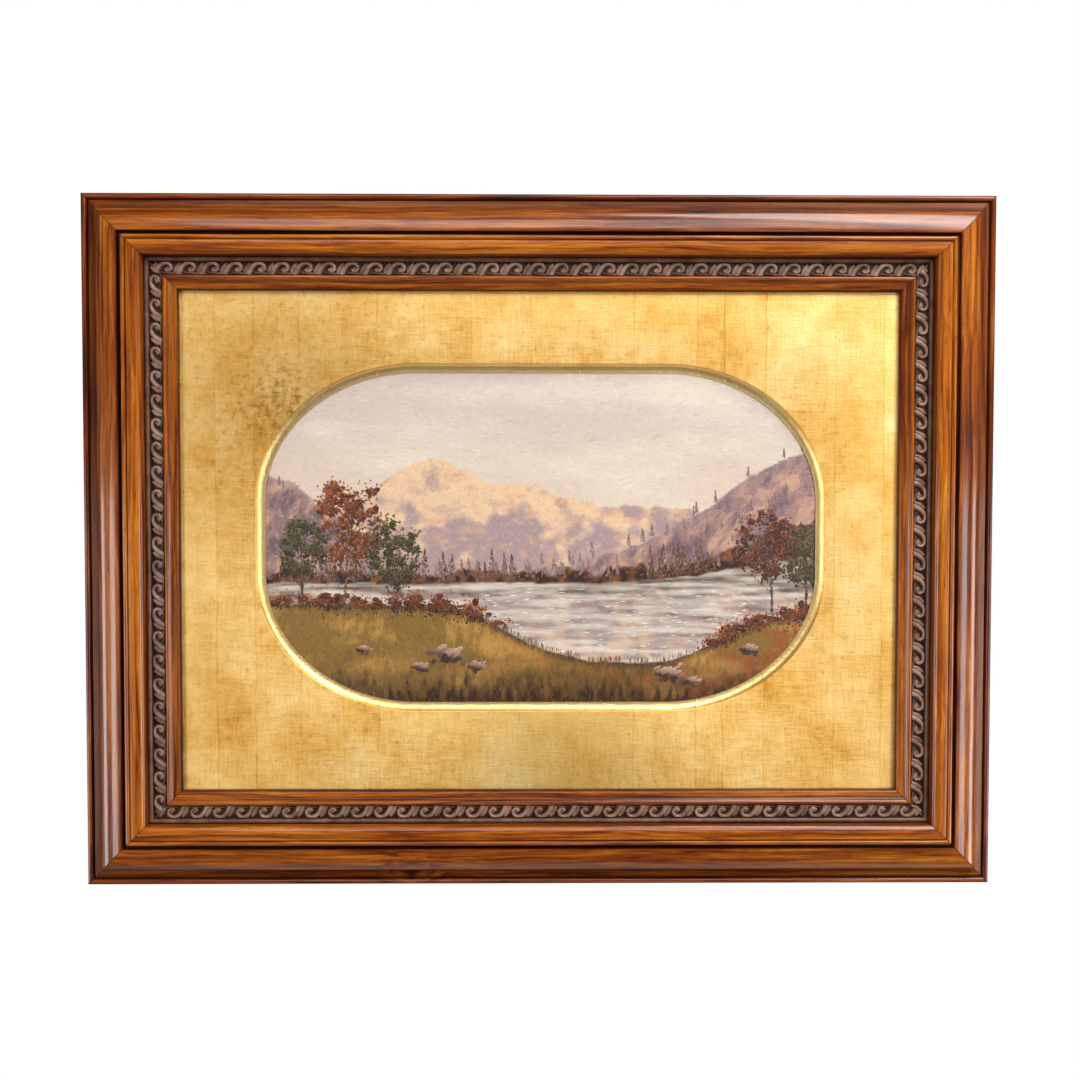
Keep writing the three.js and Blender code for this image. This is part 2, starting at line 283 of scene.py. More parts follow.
def satin_varnished_oak(name, grain_turn, shift, knot=None):
    """Oak with its grain along X, turned about Y by grain_turn. Each rail has a shift of
    its own, because no two lengths of wood are alike. A knot is a place in the frame."""
    material, tree, shader = new_material(name)
    place = add(tree, "TexCoord", output="Object")
    along = add(
        tree, "Mapping", {"Vector": place, "Rotation": (0, grain_turn, 0), "Location": shift},
    )
    wander = add(
        tree, "TexNoise", {"Vector": along, "Scale": 1 / WANDER_LENGTH, "Detail": 1},
        output="Color",
    )
    pushed = add(
        tree, "VectorMath", {0: wander, 1: (0, WANDER_BY, WANDER_BY)}, operation="MULTIPLY",
    )
    along = add(tree, "VectorMath", {0: along, 1: pushed}, operation="ADD")
    if knot:
        away = add(tree, "VectorMath", {0: place, 1: knot}, operation="DISTANCE", output="Value")
        pull = add(
            tree, "MapRange",
            {"Value": away, "From Min": 0, "From Max": KNOT_REACH, "To Min": KNOT_BEND, "To Max": 0},
            interpolation_type="SMOOTHSTEP",
        )
        bend = add(tree, "CombineXYZ", {"Y": pull, "Z": pull})
        along = add(tree, "VectorMath", {0: along, 1: bend}, operation="ADD")
    grain = {}
    for layer, (length, width, detail, roughness) in GRAIN_LAYERS.items():
        drawn_out = add(
            tree, "VectorMath", {0: along, 1: (1 / length, 1 / width, 1 / width)},
            operation="MULTIPLY",
        )
        grain[layer] = add(
            tree, "TexNoise",
            {"Vector": drawn_out, "Scale": 1, "Detail": detail, "Roughness": roughness},
        )
    figure = add(
        tree, "Mix", {0: 0.28, 2: grain["streak"], 3: grain["thread"]}, data_type="FLOAT",
    )
    mixed = add(tree, "Mix", {0: 0.3, 2: figure, 3: grain["drift"]}, data_type="FLOAT")
    tone = add(
        tree, "MapRange",
        {"Value": mixed, "From Min": 0.34, "From Max": 0.66, "To Min": 0.26, "To Max": 0.74},
    )
    brown = add(tree, "ValToRGB", {"Fac": tone}, stops=BROWN_STOPS)
    orange = add(tree, "ValToRGB", {"Fac": tone}, stops=ORANGE_STOPS)
    wear = add(tree, "Attribute", attribute_name="wear", output="Fac")
    grime_and_shade = add(tree, "Attribute", attribute_name="grime_and_shade", output="Fac")
    bare = add(tree, "Attribute", attribute_name="bare", output="Fac")
    stained = add(tree, "Mix", {0: wear, 6: brown, 7: orange}, data_type="RGBA", output=2)
    dash = add(
        tree, "MapRange",
        {"Value": grain["pore"], "From Min": 0.56, "From Max": 0.7, "To Min": 0, "To Max": 0.6},
    )
    pored = add(
        tree, "Mix", {0: dash, 6: stained, 7: linear("#220a04")}, data_type="RGBA", output=2,
    )
    if knot:
        heart = add(
            tree, "MapRange",
            {"Value": away, "From Min": KNOT_HEART, "From Max": KNOT_RIM, "To Min": 0.85,
             "To Max": 0},
        )
        pored = add(
            tree, "Mix", {0: heart, 6: pored, 7: linear("#1c0a05")}, data_type="RGBA", output=2,
        )
    # The darkening mixes the wood towards near-black: partly dirt, and partly painted shade in the
    # quirks and grooves.
    dirt_and_shade = add(tree, "Mix", {0: grime_and_shade, 6: pored, 7: linear("#240702")}, data_type="RGBA", output=2)
    raw = add(tree, "ValToRGB", {"Fac": tone}, stops=[(0.3, "#5f4126"), (0.7, "#b08a5a")])
    shown = add(tree, "Mix", {0: bare, 6: dirt_and_shade, 7: raw}, data_type="RGBA", output=2)
    rough = add(tree, "MapRange", {"Value": grain["streak"], "To Min": 0.3, "To Max": 0.48})
    dull = add(tree, "Mix", {0: bare, 2: rough, 3: 0.85}, data_type="FLOAT")
    unvarnished = add(tree, "Math", {0: grime_and_shade, 1: 1.5, 2: bare}, operation="MULTIPLY_ADD")
    varnish = add(tree, "Math", {0: 0.8, 1: unvarnished}, operation="SUBTRACT", use_clamp=True)
    relief = add(tree, "Mix", {0: 0.6, 2: figure, 3: grain["pore"]}, data_type="FLOAT")
    bump = add(tree, "Bump", {"Height": relief, "Strength": 0.35, "Distance": 0.25 * MM})
    feed(shader, {
        "Base Color": shown, "Roughness": dull, "IOR": 1.5, "Specular IOR Level": 0.12,
        "Coat Weight": varnish, "Coat Roughness": 0.14, "Normal": bump,
    })
    return material


KNOT_PLACE = (-92 * MM, -17 * MM, OUTER_LOW.z + 8 * MM)
RAIL_OAK = {
    "top": satin_varnished_oak("oak_top_rail", 0, (0.31, 0.07, 0.02)),
    "right": satin_varnished_oak("oak_right_rail", math.pi / 2, (0.87, 0.21, 0.33)),
    "bottom": satin_varnished_oak("oak_bottom_rail", 0, (1.43, 0.4, 0.12), KNOT_PLACE),
    "left": satin_varnished_oak("oak_left_rail", math.pi / 2, (2.09, 0.13, 0.71)),
}
print("oak finishes:", [material.name for material in RAIL_OAK.values()])

# %% [markdown]
# ## The rails
#
# A moulding is a section pushed through a straight line, so the section is drawn once, as a
# flat face, and extruded. The arcs are finer than in the CAD solid, because varnish shows
# every facet. The ends are then sheared to the mitre: a point that lies u inside the outer
# edge also stops u short of the corner.

# %% Draw the section
EDGE_BEAD = {"springs": 16, "radius": 1.95}
EDGE_QUIRK = {"centre": 4.5, "floor": 15.2}
FILLET = {"start": 5.1, "start_high": 15.9, "end": 10.3, "end_high": 16.5}
OVOLO = {"start": 10.8, "end": 28.5, "low": 18.6, "high": 29.2}
QUIRK = {"start": 28.9, "end": 30.6, "floor": 26.4}
ARRIS_BEAD = {"start": 31.2, "radius": 1.6, "springs": 28.8}
FINE_QUIRK = {"centre": 34.8, "floor": 29.6}
TOP_FLAT = {"start": 35.6, "start_high": 30.5, "high": 30.8, "end": 38.6}
SHOULDER = {"flat_pull": 3, "rim_pull_in": 1.1, "rim_pull_up": 1.6}
CHANNEL = {"start": 44.7, "end": 57.7, "floor": 17.5, "rim": 28}
LIP_BEAD = {"radius": 1.7, "springs": 20.8}
LIP_SCOOP = {"pull": 1.9, "end": 63.4, "floor": 20}
LIP = {"crown_at": 67.4, "crown": 20.4, "sight_top": 17.6}
RABBET = {"wall": 61.5, "ceiling": 15.3}


def bezier(points, steps):
    """Points along a Bezier curve of any degree, without its first point."""
    curve = []
    for step in range(1, steps + 1):
        level = [Vector(point) for point in points]
        while len(level) > 1:
            level = [a.lerp(b, step / steps) for a, b in zip(level, level[1:])]
        curve.append(tuple(level[0]))
    return curve


def arch(centre, radius_u, radius_h, start, end, steps):
    """Points along an elliptical arc, from one angle in degrees to the other."""
    angles = np.radians(np.linspace(start, end, steps + 1))
    return [(centre[0] + radius_u * math.cos(a), centre[1] + radius_h * math.sin(a)) for a in angles]


def rail_section():
    """The oak moulding's outline as (u, h) in millimetres."""
    edge = EDGE_BEAD["radius"]
    outline = [(0, 0), (0, EDGE_BEAD["springs"] / 2)]
    outline += arch((edge, EDGE_BEAD["springs"]), edge, edge, 180, 0, 14)
    outline.append((EDGE_QUIRK["centre"], EDGE_QUIRK["floor"]))
    fillet = [(FILLET["start"], FILLET["start_high"]), (FILLET["end"], FILLET["end_high"])]
    outline += [fillet[0], *bezier(fillet, 4)]
    outline += arch(
        (OVOLO["end"], OVOLO["low"]), OVOLO["end"] - OVOLO["start"], OVOLO["high"] - OVOLO["low"],
        180, 90, 26,
    )
    outline += [(QUIRK["start"], QUIRK["floor"]), (QUIRK["end"], QUIRK["floor"])]
    arris = ARRIS_BEAD["radius"]
    outline += arch((ARRIS_BEAD["start"] + arris, ARRIS_BEAD["springs"]), arris, arris, 180, 0, 12)
    outline += [
        (FINE_QUIRK["centre"], FINE_QUIRK["floor"]),
        (TOP_FLAT["start"], TOP_FLAT["start_high"]),
        (TOP_FLAT["end"], TOP_FLAT["high"]),
    ]
    outline += bezier(
        [
            (TOP_FLAT["end"], TOP_FLAT["high"]),
            (TOP_FLAT["end"] + SHOULDER["flat_pull"], TOP_FLAT["high"]),
            (CHANNEL["start"] - SHOULDER["rim_pull_in"], CHANNEL["rim"] + SHOULDER["rim_pull_up"]),
            (CHANNEL["start"], CHANNEL["rim"]),
        ],
        18,
    )
    outline += [(CHANNEL["start"], CHANNEL["floor"]), (CHANNEL["end"], CHANNEL["floor"])]
    lip_centre = CHANNEL["end"] + LIP_BEAD["radius"]
    lip_top = LIP_BEAD["springs"] + LIP_BEAD["radius"]
    lip_bead = LIP_BEAD["radius"]
    outline += arch((lip_centre, LIP_BEAD["springs"]), lip_bead, lip_bead, 180, 90, 8)
    outline += bezier(
        [
            (lip_centre, lip_top),
            (lip_centre + LIP_SCOOP["pull"], lip_top),
            (LIP_SCOOP["end"] - LIP_SCOOP["pull"], LIP_SCOOP["floor"]),
            (LIP_SCOOP["end"], LIP_SCOOP["floor"]),
        ],
        10,
    )
    outline += bezier(
        [
            (LIP_SCOOP["end"], LIP_SCOOP["floor"]),
            (LIP["crown_at"], LIP["crown"]),
            (RAIL_WIDTH / MM, LIP["sight_top"]),
        ],
        10,
    )
    outline += [
        (RAIL_WIDTH / MM, RABBET["ceiling"]), (RABBET["wall"], RABBET["ceiling"]),
        (RABBET["wall"], 0),
    ]
    return outline


section = rail_section()
print("section points:", len(section), "highest, mm:", max(h for _, h in section))

# %% Build one rail from the section
LENGTH_CUTS = 40
# Dirt shows along the mitre, so the last cut before each end stands this close to it.
MITRE_LINE = 0.8 * MM
MITRE_GRIME = 0.7
SIDE_AND_BACK_DARKENING = 0.3
# The right rail is darkened less than the others: its quirks get lighter painted shade.
GRIME_AND_SHADE_SHARE = {"top": 1, "right": 0.75, "bottom": 1, "left": 1}
SMOOTH_ANGLE = math.radians(38)
# How far the stain has worn to orange, and how far the colour is darkened, at stations of u
# in mm. The darkening is partly dirt and partly painted shade: in the quirks and grooves,
# along the outer edge and over the fillet by the outer bead. It thins the varnish too.
WEAR_AT = [(0, 0.1), (4, 0.15), (7, 0.8), (10.5, 0.2), (15, 0.35), (20, 0.6), (28, 0.6),
           (31, 0.7), (34, 1), (39, 1), (42, 0.9), (43.8, 0.7), (44.7, 0.4), (57, 0.5),
           (59, 0.7), (61.5, 0.3), (64, 0.75), (68, 0.4)]
GRIME_AND_SHADE_AT = [(0, 0.9), (0.5, 0.6), (1.2, 0.08), (3.2, 0.1), (3.9, 0.7), (4.5, 0.9), (5.1, 0.45),
            (6, 0.5), (9.3, 0.5), (10.3, 0.6), (10.8, 0.3), (12, 0.03), (28, 0.03),
            (28.6, 0.8), (28.9, 1), (30.6, 1), (31.2, 0.7), (31.8, 0.05), (33.9, 0.1),
            (34.8, 0.55), (35.5, 0.08), (41, 0.05), (44, 0.08), (44.7, 0.35), (57.7, 0.9),
            (58.1, 0.3), (58.8, 0), (60.5, 0.1), (62.2, 0.3), (64.5, 0.05), (66.4, 0.15),
            (67.5, 0.6), (68, 0.85)]


def shade_smooth(bm):
    """Shades every face smooth but keeps the sharper edges crisp."""
    for face in bm.faces:
        face.smooth = True
    for edge in bm.edges:
        edge.smooth = edge.calc_face_angle(0) < SMOOTH_ANGLE


def to_mesh(name, bm):
    mesh = bpy.data.meshes.new(name)
    bm.to_mesh(mesh)
    bm.free()
    return mesh


def new_piece(name, mesh, material, slot_name, *nodes):
    """Makes a mesh a piece that rides on the frame and stands for CAD nodes."""
    mesh.materials.append(material)
    piece = bpy.data.objects.new(name, mesh)
    scene.collection.objects.link(piece)
    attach(piece, "root")
    if nodes:
        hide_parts(*nodes)
    return piece


def set_attribute(piece, name, values):
    """Stores one number for each vertex of the piece."""
    layer = piece.data.attributes.new(name, "FLOAT", "POINT")
    layer.data.foreach_set("value", np.asarray(values, dtype=np.float32))


def side_matrix(side):
    """From a side's own space, with its outer edge on z = 0 and its length along X, to the
    frame's."""
    _, reach, angle = SIDES[side]
    return (
        Matrix.Translation(FRAME_CENTRE) @ Matrix.Rotation(angle, 4, "Y")
        @ Matrix.Translation((0, 0, reach))
    )


def build_rail(side):
    length = SIDES[side][0]
    bm = bmesh.new()
    corners = [bm.verts.new((0.5, -h * MM, -u * MM)) for u, h in section]
    end_face = bm.faces.new(corners)
    swept = bmesh.ops.extrude_face_region(bm, geom=[end_face])
    far_corners = [item for item in swept["geom"] if isinstance(item, bmesh.types.BMVert)]
    bmesh.ops.translate(bm, verts=far_corners, vec=(-1, 0, 0))
    lengthwise = [edge for edge in bm.edges if abs(edge.verts[0].co.x - edge.verts[1].co.x) > 0.5]
    bmesh.ops.subdivide_edges(bm, edges=lengthwise, cuts=LENGTH_CUTS)
    last_cut = 1 - 2 / (LENGTH_CUTS + 1)
    at_mitre = []
    for vert in bm.verts:
        half = length / 2 + vert.co.z - MITRE_GAP
        share = abs(vert.co.x) / 0.5
        if math.isclose(share, last_cut, abs_tol=0.001):
            share = 1 - MITRE_LINE / half
        at_mitre.append(share > 0.9999)
        vert.co.x = math.copysign(share * half, vert.co.x)
    bmesh.ops.recalc_face_normals(bm, faces=bm.faces)
    depth_in = np.array([-vert.co.z / MM for vert in bm.verts])
    height = np.array([-vert.co.y / MM for vert in bm.verts])
    shade_smooth(bm)
    bmesh.ops.transform(bm, matrix=side_matrix(side), verts=bm.verts)
    mesh = to_mesh(f"oak_rail_{side}", bm)
    rail = new_piece(mesh.name, mesh, RAIL_OAK[side], "oak", f"rail_{side}")
    set_attribute(rail, "wear", np.interp(depth_in, *zip(*WEAR_AT)))
    # Darkening along the section: partly dirt, and partly painted shade in the quirks and grooves.
    grime_and_shade = np.interp(depth_in, *zip(*GRIME_AND_SHADE_AT)) * GRIME_AND_SHADE_SHARE[side]
    grime_and_shade = np.where(at_mitre, np.maximum(grime_and_shade, MITRE_GRIME), grime_and_shade)
    on_side = (depth_in < 0.01) & (height < EDGE_BEAD["springs"])
    in_rabbet = (depth_in >= RABBET["wall"] - 0.01) & (height <= RABBET["ceiling"] + 0.01)
    behind = (height < 0.01) | (in_rabbet & (depth_in < RAIL_WIDTH / MM - 0.01))
    set_attribute(rail, "grime_and_shade", np.where(on_side | behind, SIDE_AND_BACK_DARKENING, grime_and_shade))
    set_attribute(rail, "bare", behind)
    return rail


rails = [build_rail(side) for side in SIDES]
print("rails:", [(rail.name, len(rail.data.polygons)) for rail in rails])

# %% [markdown]
# ## The carved strip
#
# The strip is one long row of waves. Each rises from the inner edge, arches over and curls
# in on a round eye, and a leaf fills the hollow behind it. A carver cuts it with gouges, so
# its crests are round and its hollows are soft. That is a height over a plane, so the strip
# starts as a grid, its edge is pulled down to the channel's floor, and the top is then
# raised by one function. The wave's centre line is the same spiral as in the CAD solid.

# %% Work out the scroll's height
STRIP_START, STRIP_END, STRIP_BASE = 45.0, 57.4, 17.8
STRIP_FILLET = {"width": 3.1, "springs": 20.6, "top": 21.9}
STRIP_QUIRK = {"width": 0.9, "floor": 18.9}
GROUND = 19.3
WAVE_TOP = 21.3
CARVED_START = STRIP_START + STRIP_FILLET["width"] + STRIP_QUIRK["width"]
WAVE_PITCH_AIM = 16.45
EYE_HEIGHT = 4.3
WAVE_SWEEP = 6.0
SPIRAL = {"radius": 4.2, "stem_reach": 5.4, "stem_fade": 1.5, "closing": 0.45}
START_ANGLE = math.radians(205)
LEAF_RISE, FOOT_RISE, EYE_RISE = 1.7, 1.2, 1.7
# The round eye and the low leaf under each curl: centre line and half breadth, in mm.
EYE = ([0.2], [EYE_HEIGHT], [1.35])
FOOT_LEAF = (np.linspace(-4.4, 4.2, 14), np.linspace(1.3, 0.5, 14), np.linspace(0.6, 1.2, 14))


def spiral_points(steps=44):
    """The wave's centre line about its eye, with the stem's half breadth, in mm."""
    along = np.linspace(0, 1, steps)
    swept = along * WAVE_SWEEP
    stem = SPIRAL["stem_reach"] * np.exp(-SPIRAL["stem_fade"] * swept)
    radius = SPIRAL["radius"] + stem - SPIRAL["closing"] * swept
    angle = START_ANGLE - swept
    half = 1.62 + 0.7 * np.exp(-swept) - 0.3 * along
    return radius * np.cos(angle), EYE_HEIGHT + radius * np.sin(angle), half


def leaf_points(steps=20):
    """The centre line of the leaf that lies along the back of each wave, in mm."""
    along = np.linspace(0, 1, steps)
    half = 1.9 * np.sqrt(np.clip(1 - (1.8 * along - 0.9) ** 2, 0.05, 1))
    return -11.4 + 1.2 * along + 2.6 * along ** 2, 0.7 + 6.9 * along, half


def ridge(run, across, line, rise):
    """The height of a round-backed ridge that follows a centre line."""
    best = np.zeros_like(run)
    for x, y, half in zip(*line):
        away = np.hypot(run - x, across - y) / half
        best = np.maximum(best, rise * np.sqrt(np.clip(1 - away ** 2, 0, 1)))
    return best


def scroll_height(run, across, pitch):
    """Height above the ground, in mm. run is along the strip and across is outward."""
    height = np.zeros_like(run)
    here = (run + pitch / 2) % pitch - pitch / 2
    for shift in (-pitch, 0, pitch):
        local = here - shift
        height = np.maximum(height, ridge(local, across, spiral_points(), WAVE_TOP - GROUND))
        height = np.maximum(height, ridge(local, across, leaf_points(), LEAF_RISE))
        height = np.maximum(height, ridge(local, across, FOOT_LEAF, FOOT_RISE))
        height = np.maximum(height, ridge(local, across, EYE, EYE_RISE))
    return height


# %% Build the four strips
STRIP_ROWS = 34
STRIP_STEP = 0.42 * MM
# The tone of the quirk, darkened as painted shade, and of the rubbed fillet, on the scale
# where a wave's crest is 1.
QUIRK_SHADE_TONE, FILLET_RUBBED = 0.3, 0.6
STRIP_SMOOTH = math.radians(60)


def build_strip(side):
    length = SIDES[side][0] / MM
    run_length = length - (CARVED_START + STRIP_END)
    pitch = run_length / round(run_length / WAVE_PITCH_AIM)
    columns = int((length - 2 * STRIP_START) * MM / STRIP_STEP)
    bm = bmesh.new()
    bmesh.ops.create_grid(bm, x_segments=columns, y_segments=STRIP_ROWS, size=0.5)
    rim = [edge for edge in bm.edges if edge.is_boundary]
    skirt = bmesh.ops.extrude_edge_only(bm, edges=rim)["geom"]
    foot = [item for item in skirt if isinstance(item, bmesh.types.BMVert)]
    foot_edges = [item for item in skirt if isinstance(item, bmesh.types.BMEdge)]
    bmesh.ops.contextual_create(bm, geom=[edge for edge in foot_edges if edge.is_boundary])
    every = np.array([vert.co for vert in bm.verts])
    share = np.clip(every[:, 1] + 0.5, 0, 1)
    depth_in = STRIP_START + share * (STRIP_END - STRIP_START)
    run = every[:, 0] * 2 * (length / 2 - depth_in - MITRE_GAP / MM)
    across = STRIP_END - depth_in
    carved = GROUND + scroll_height(run, across, pitch)
    fillet_end = STRIP_START + STRIP_FILLET["width"]
    off_middle = (depth_in - (STRIP_START + fillet_end) / 2) / (STRIP_FILLET["width"] / 2)
    round_back = np.sqrt(np.clip(1 - off_middle ** 2, 0, 1))
    fillet_rise = STRIP_FILLET["top"] - STRIP_FILLET["springs"]
    fillet = STRIP_FILLET["springs"] + fillet_rise * round_back
    height = np.where(depth_in < CARVED_START, STRIP_QUIRK["floor"], carved)
    height = np.where(depth_in <= fillet_end, fillet, height)
    height[[vert.index for vert in foot]] = STRIP_BASE
    # The height also sets the strip's tone: painted shade in the hollows and the quirk.
    relief = (height - GROUND) / (WAVE_TOP - GROUND)
    relief = np.where(depth_in < CARVED_START, QUIRK_SHADE_TONE, relief)
    relief = np.where(depth_in < fillet_end, FILLET_RUBBED, relief)
    for vert, x, h, u in zip(bm.verts, run, height, depth_in):
        vert.co = (x * MM, -h * MM, -u * MM)
    bmesh.ops.recalc_face_normals(bm, faces=bm.faces)
    for face in bm.faces:
        face.smooth = len(face.verts) == 4
    for edge in bm.edges:
        edge.smooth = edge.calc_face_angle(0) < STRIP_SMOOTH
    bmesh.ops.transform(bm, matrix=side_matrix(side), verts=bm.verts)
    mesh = to_mesh(f"carved_strip_{side}", bm)
    strip = new_piece(mesh.name, mesh, dark_strip, "dark_oak", f"scroll_strip_{side}")
    set_attribute(strip, "relief", np.clip(relief, 0, 1))
    return strip


SMUDGE_SIZE = 9 * MM
GOUGE_MARK = 1.2 * MM


def dark_stained_carving():
    """Oak stained almost black, rubbed paler on the crests of the waves, and darkened down in
    the hollows as painted shade.
    """
    material, tree, shader = new_material("dark_stained_carving")
    place = add(tree, "TexCoord", output="Object")
    relief = add(tree, "Attribute", attribute_name="relief", output="Fac")
    smudge = add(
        tree, "TexNoise", {"Vector": place, "Scale": 1 / SMUDGE_SIZE, "Detail": 4, "Roughness": 0.6},
    )
    worn = add(tree, "Math", {0: relief, 1: smudge}, operation="MULTIPLY")
    # Low places are painted darker as painted shade, and the crests are paler where the stain is
    # rubbed.
    colour = add(
        tree, "ValToRGB", {"Fac": worn},
        stops=[(0.0, "#1c0904"), (0.14, "#432518"), (0.34, "#664736"), (0.6, "#96745f")],
    )
    tooling = add(tree, "TexNoise", {"Vector": place, "Scale": 1 / GOUGE_MARK, "Detail": 3})
    bump = add(tree, "Bump", {"Height": tooling, "Strength": 0.3, "Distance": 0.2 * MM})
    feed(shader, {
        "Base Color": colour, "Roughness": 0.5, "Specular IOR Level": 0.3, "Coat Weight": 0.35,
        "Coat Roughness": 0.2, "Normal": bump,
    })
    return material


dark_strip = dark_stained_carving()
strips = [build_strip(side) for side in SIDES]
print("strips:", [(strip.name, len(strip.data.polygons)) for strip in strips])

# %% [markdown]
# ## The gilded panel
#
# The panel is a board with a long round-cornered window and a hollow edge that leads the
# eye in to the picture. It is covered with gold leaf. One closed band makes the whole
# piece: a circle of edges is extruded level by level and its two ends are bridged. Only
# then is each level given its real outline, because a circle's own angle says where on
# the window, or on the rectangle outside it, a point belongs.

# %% Build the gilded panel
MAT_FRONT, MAT_BACK = 15.0, 9.9
WINDOW = {"width": 393.4, "height": 235.8, "shift": 0.9, "lift": 2.7, "across": 108, "up": 92}
WINDOW_COVE = {"spread": 6.2, "depth": 4.4, "steps": 12, "soft_arris": 0.5}
WINDOW_POINTS = 192
BURNISHED_BELOW = 0.3
mat_low, mat_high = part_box("gilded_mat")
SHEET_HALF = ((mat_high.x - mat_low.x) / 2 / MM, (mat_high.z - mat_low.z) / 2 / MM)


def window_point(angle, spread):
    """A point of the window's outline, in mm from its centre, pushed out by spread."""
    across, up = WINDOW["across"], WINDOW["up"]
    c, s = round(math.cos(angle), 9), round(math.sin(angle), 9)
    x = np.sign(c) * (WINDOW["width"] / 2 - across) + (across + spread) * c
    z = np.sign(s) * (WINDOW["height"] / 2 - up) + (up + spread) * s
    return x + WINDOW["shift"], z + WINDOW["lift"]


def sheet_point(angle):
    """The point of the panel's rectangle that a window point is joined to."""
    reach = [max(-1, min(1, math.sqrt(2) * part)) for part in (math.cos(angle), math.sin(angle))]
    return reach[0] * SHEET_HALF[0], reach[1] * SHEET_HALF[1]


def cove_levels():
    """The (spread, height) of each level from the back of the window to the flat."""
    spread, depth, steps = WINDOW_COVE["spread"], WINDOW_COVE["depth"], WINDOW_COVE["steps"]
    soft = WINDOW_COVE["soft_arris"]
    levels = [(0, MAT_BACK)]
    for turn in np.linspace(0, math.pi / 2, steps + 1):
        sunk = soft + (depth - soft) * math.cos(turn)
        levels.append(((spread - soft) * math.sin(turn), MAT_FRONT - sunk))
    for turn in np.radians((30, 60, 90)):
        levels.append((spread - soft * math.cos(turn), MAT_FRONT - soft + soft * math.sin(turn)))
    return levels


def build_gilded_panel():
    levels = cove_levels()
    bm = bmesh.new()
    bmesh.ops.create_circle(bm, segments=WINDOW_POINTS, radius=1)
    first = list(bm.edges)
    ring = first
    for _ in range(len(levels) + 1):
        grown = bmesh.ops.extrude_edge_only(bm, edges=ring)["geom"]
        fresh = [item for item in grown if isinstance(item, bmesh.types.BMVert)]
        bmesh.ops.translate(bm, verts=fresh, vec=(0, 0, 1))
        ring = [edge for edge in grown if isinstance(edge, bmesh.types.BMEdge) and edge.is_boundary]
    bmesh.ops.bridge_loops(bm, edges=first + ring)
    for vert in bm.verts:
        angle = math.atan2(vert.co.y, vert.co.x)
        level = round(vert.co.z)
        if level < len(levels):
            spread, height = levels[level]
            x, z = window_point(angle, spread)
        else:
            x, z = sheet_point(angle)
            height = MAT_FRONT if level == len(levels) else MAT_BACK
        vert.co = (x * MM, -height * MM, z * MM)
    bmesh.ops.translate(bm, verts=bm.verts, vec=FRAME_CENTRE)
    bmesh.ops.recalc_face_normals(bm, faces=bm.faces)
    shade_smooth(bm)
    mesh = to_mesh("gilded_panel", bm)
    panel = new_piece(mesh.name, mesh, gilding, "gold_leaf", "gilded_mat")
    # The hollow edge is marked: it is smoother for the burnish, and painted paler as a painted sheen.
    flat = FRAME_CENTRE.y - (MAT_FRONT - BURNISHED_BELOW) * MM
    set_attribute(panel, "burnished_and_sheen", [vert.co.y > flat for vert in mesh.vertices])
    return panel


# %% [markdown]
# ## Gold leaf
#
# Leaf is beaten so thin that it keeps every mark. It is laid in strips with their edges
# lapped, so faint upright lines cross the panel where it is two leaves thick, some plainer
# than others. Each leaf has its own tone, and the burnisher leaves fine crossed scratches
# like linen. One spot beside the window is rubbed through to the ground and the gold round
# it has dulled, and below the window it has turned a little green. The hollow edge was
# burnished harder, so it is smoother, and its colour is painted paler as a painted sheen.
# The shader is plain metal: its colour comes from the leaf's tone, and its laps and crackle
# are bump.

# %% Make the gold leaf
LEAF_WIDTH = 34 * MM
LEAF_HEIGHT = 66 * MM
LAP_WIDTH = 1.0 * MM
# Leaves are laid by hand, so their edges sway.
SWAY_LENGTH, SWAY_BY = 30 * MM, 3 * MM
CLOUD_SIZE = 46 * MM
# Real scratches are finer. These are as coarse as they need to be to show.
SCRATCH_WIDTH, SCRATCH_LENGTH = 1.2 * MM, 10 * MM
CRACKLE = 9 * MM
SPECK_SIZE = 5 * MM
RUBBED_AT = (-0.186, 0, FRAME_CENTRE.z + 0.095)
RUBBED_REACH = 48 * MM
DULLED_REACH = 150 * MM
GREENED_AT = (0.02, 0, FRAME_CENTRE.z - 0.152)
GREENED_REACH = 120 * MM


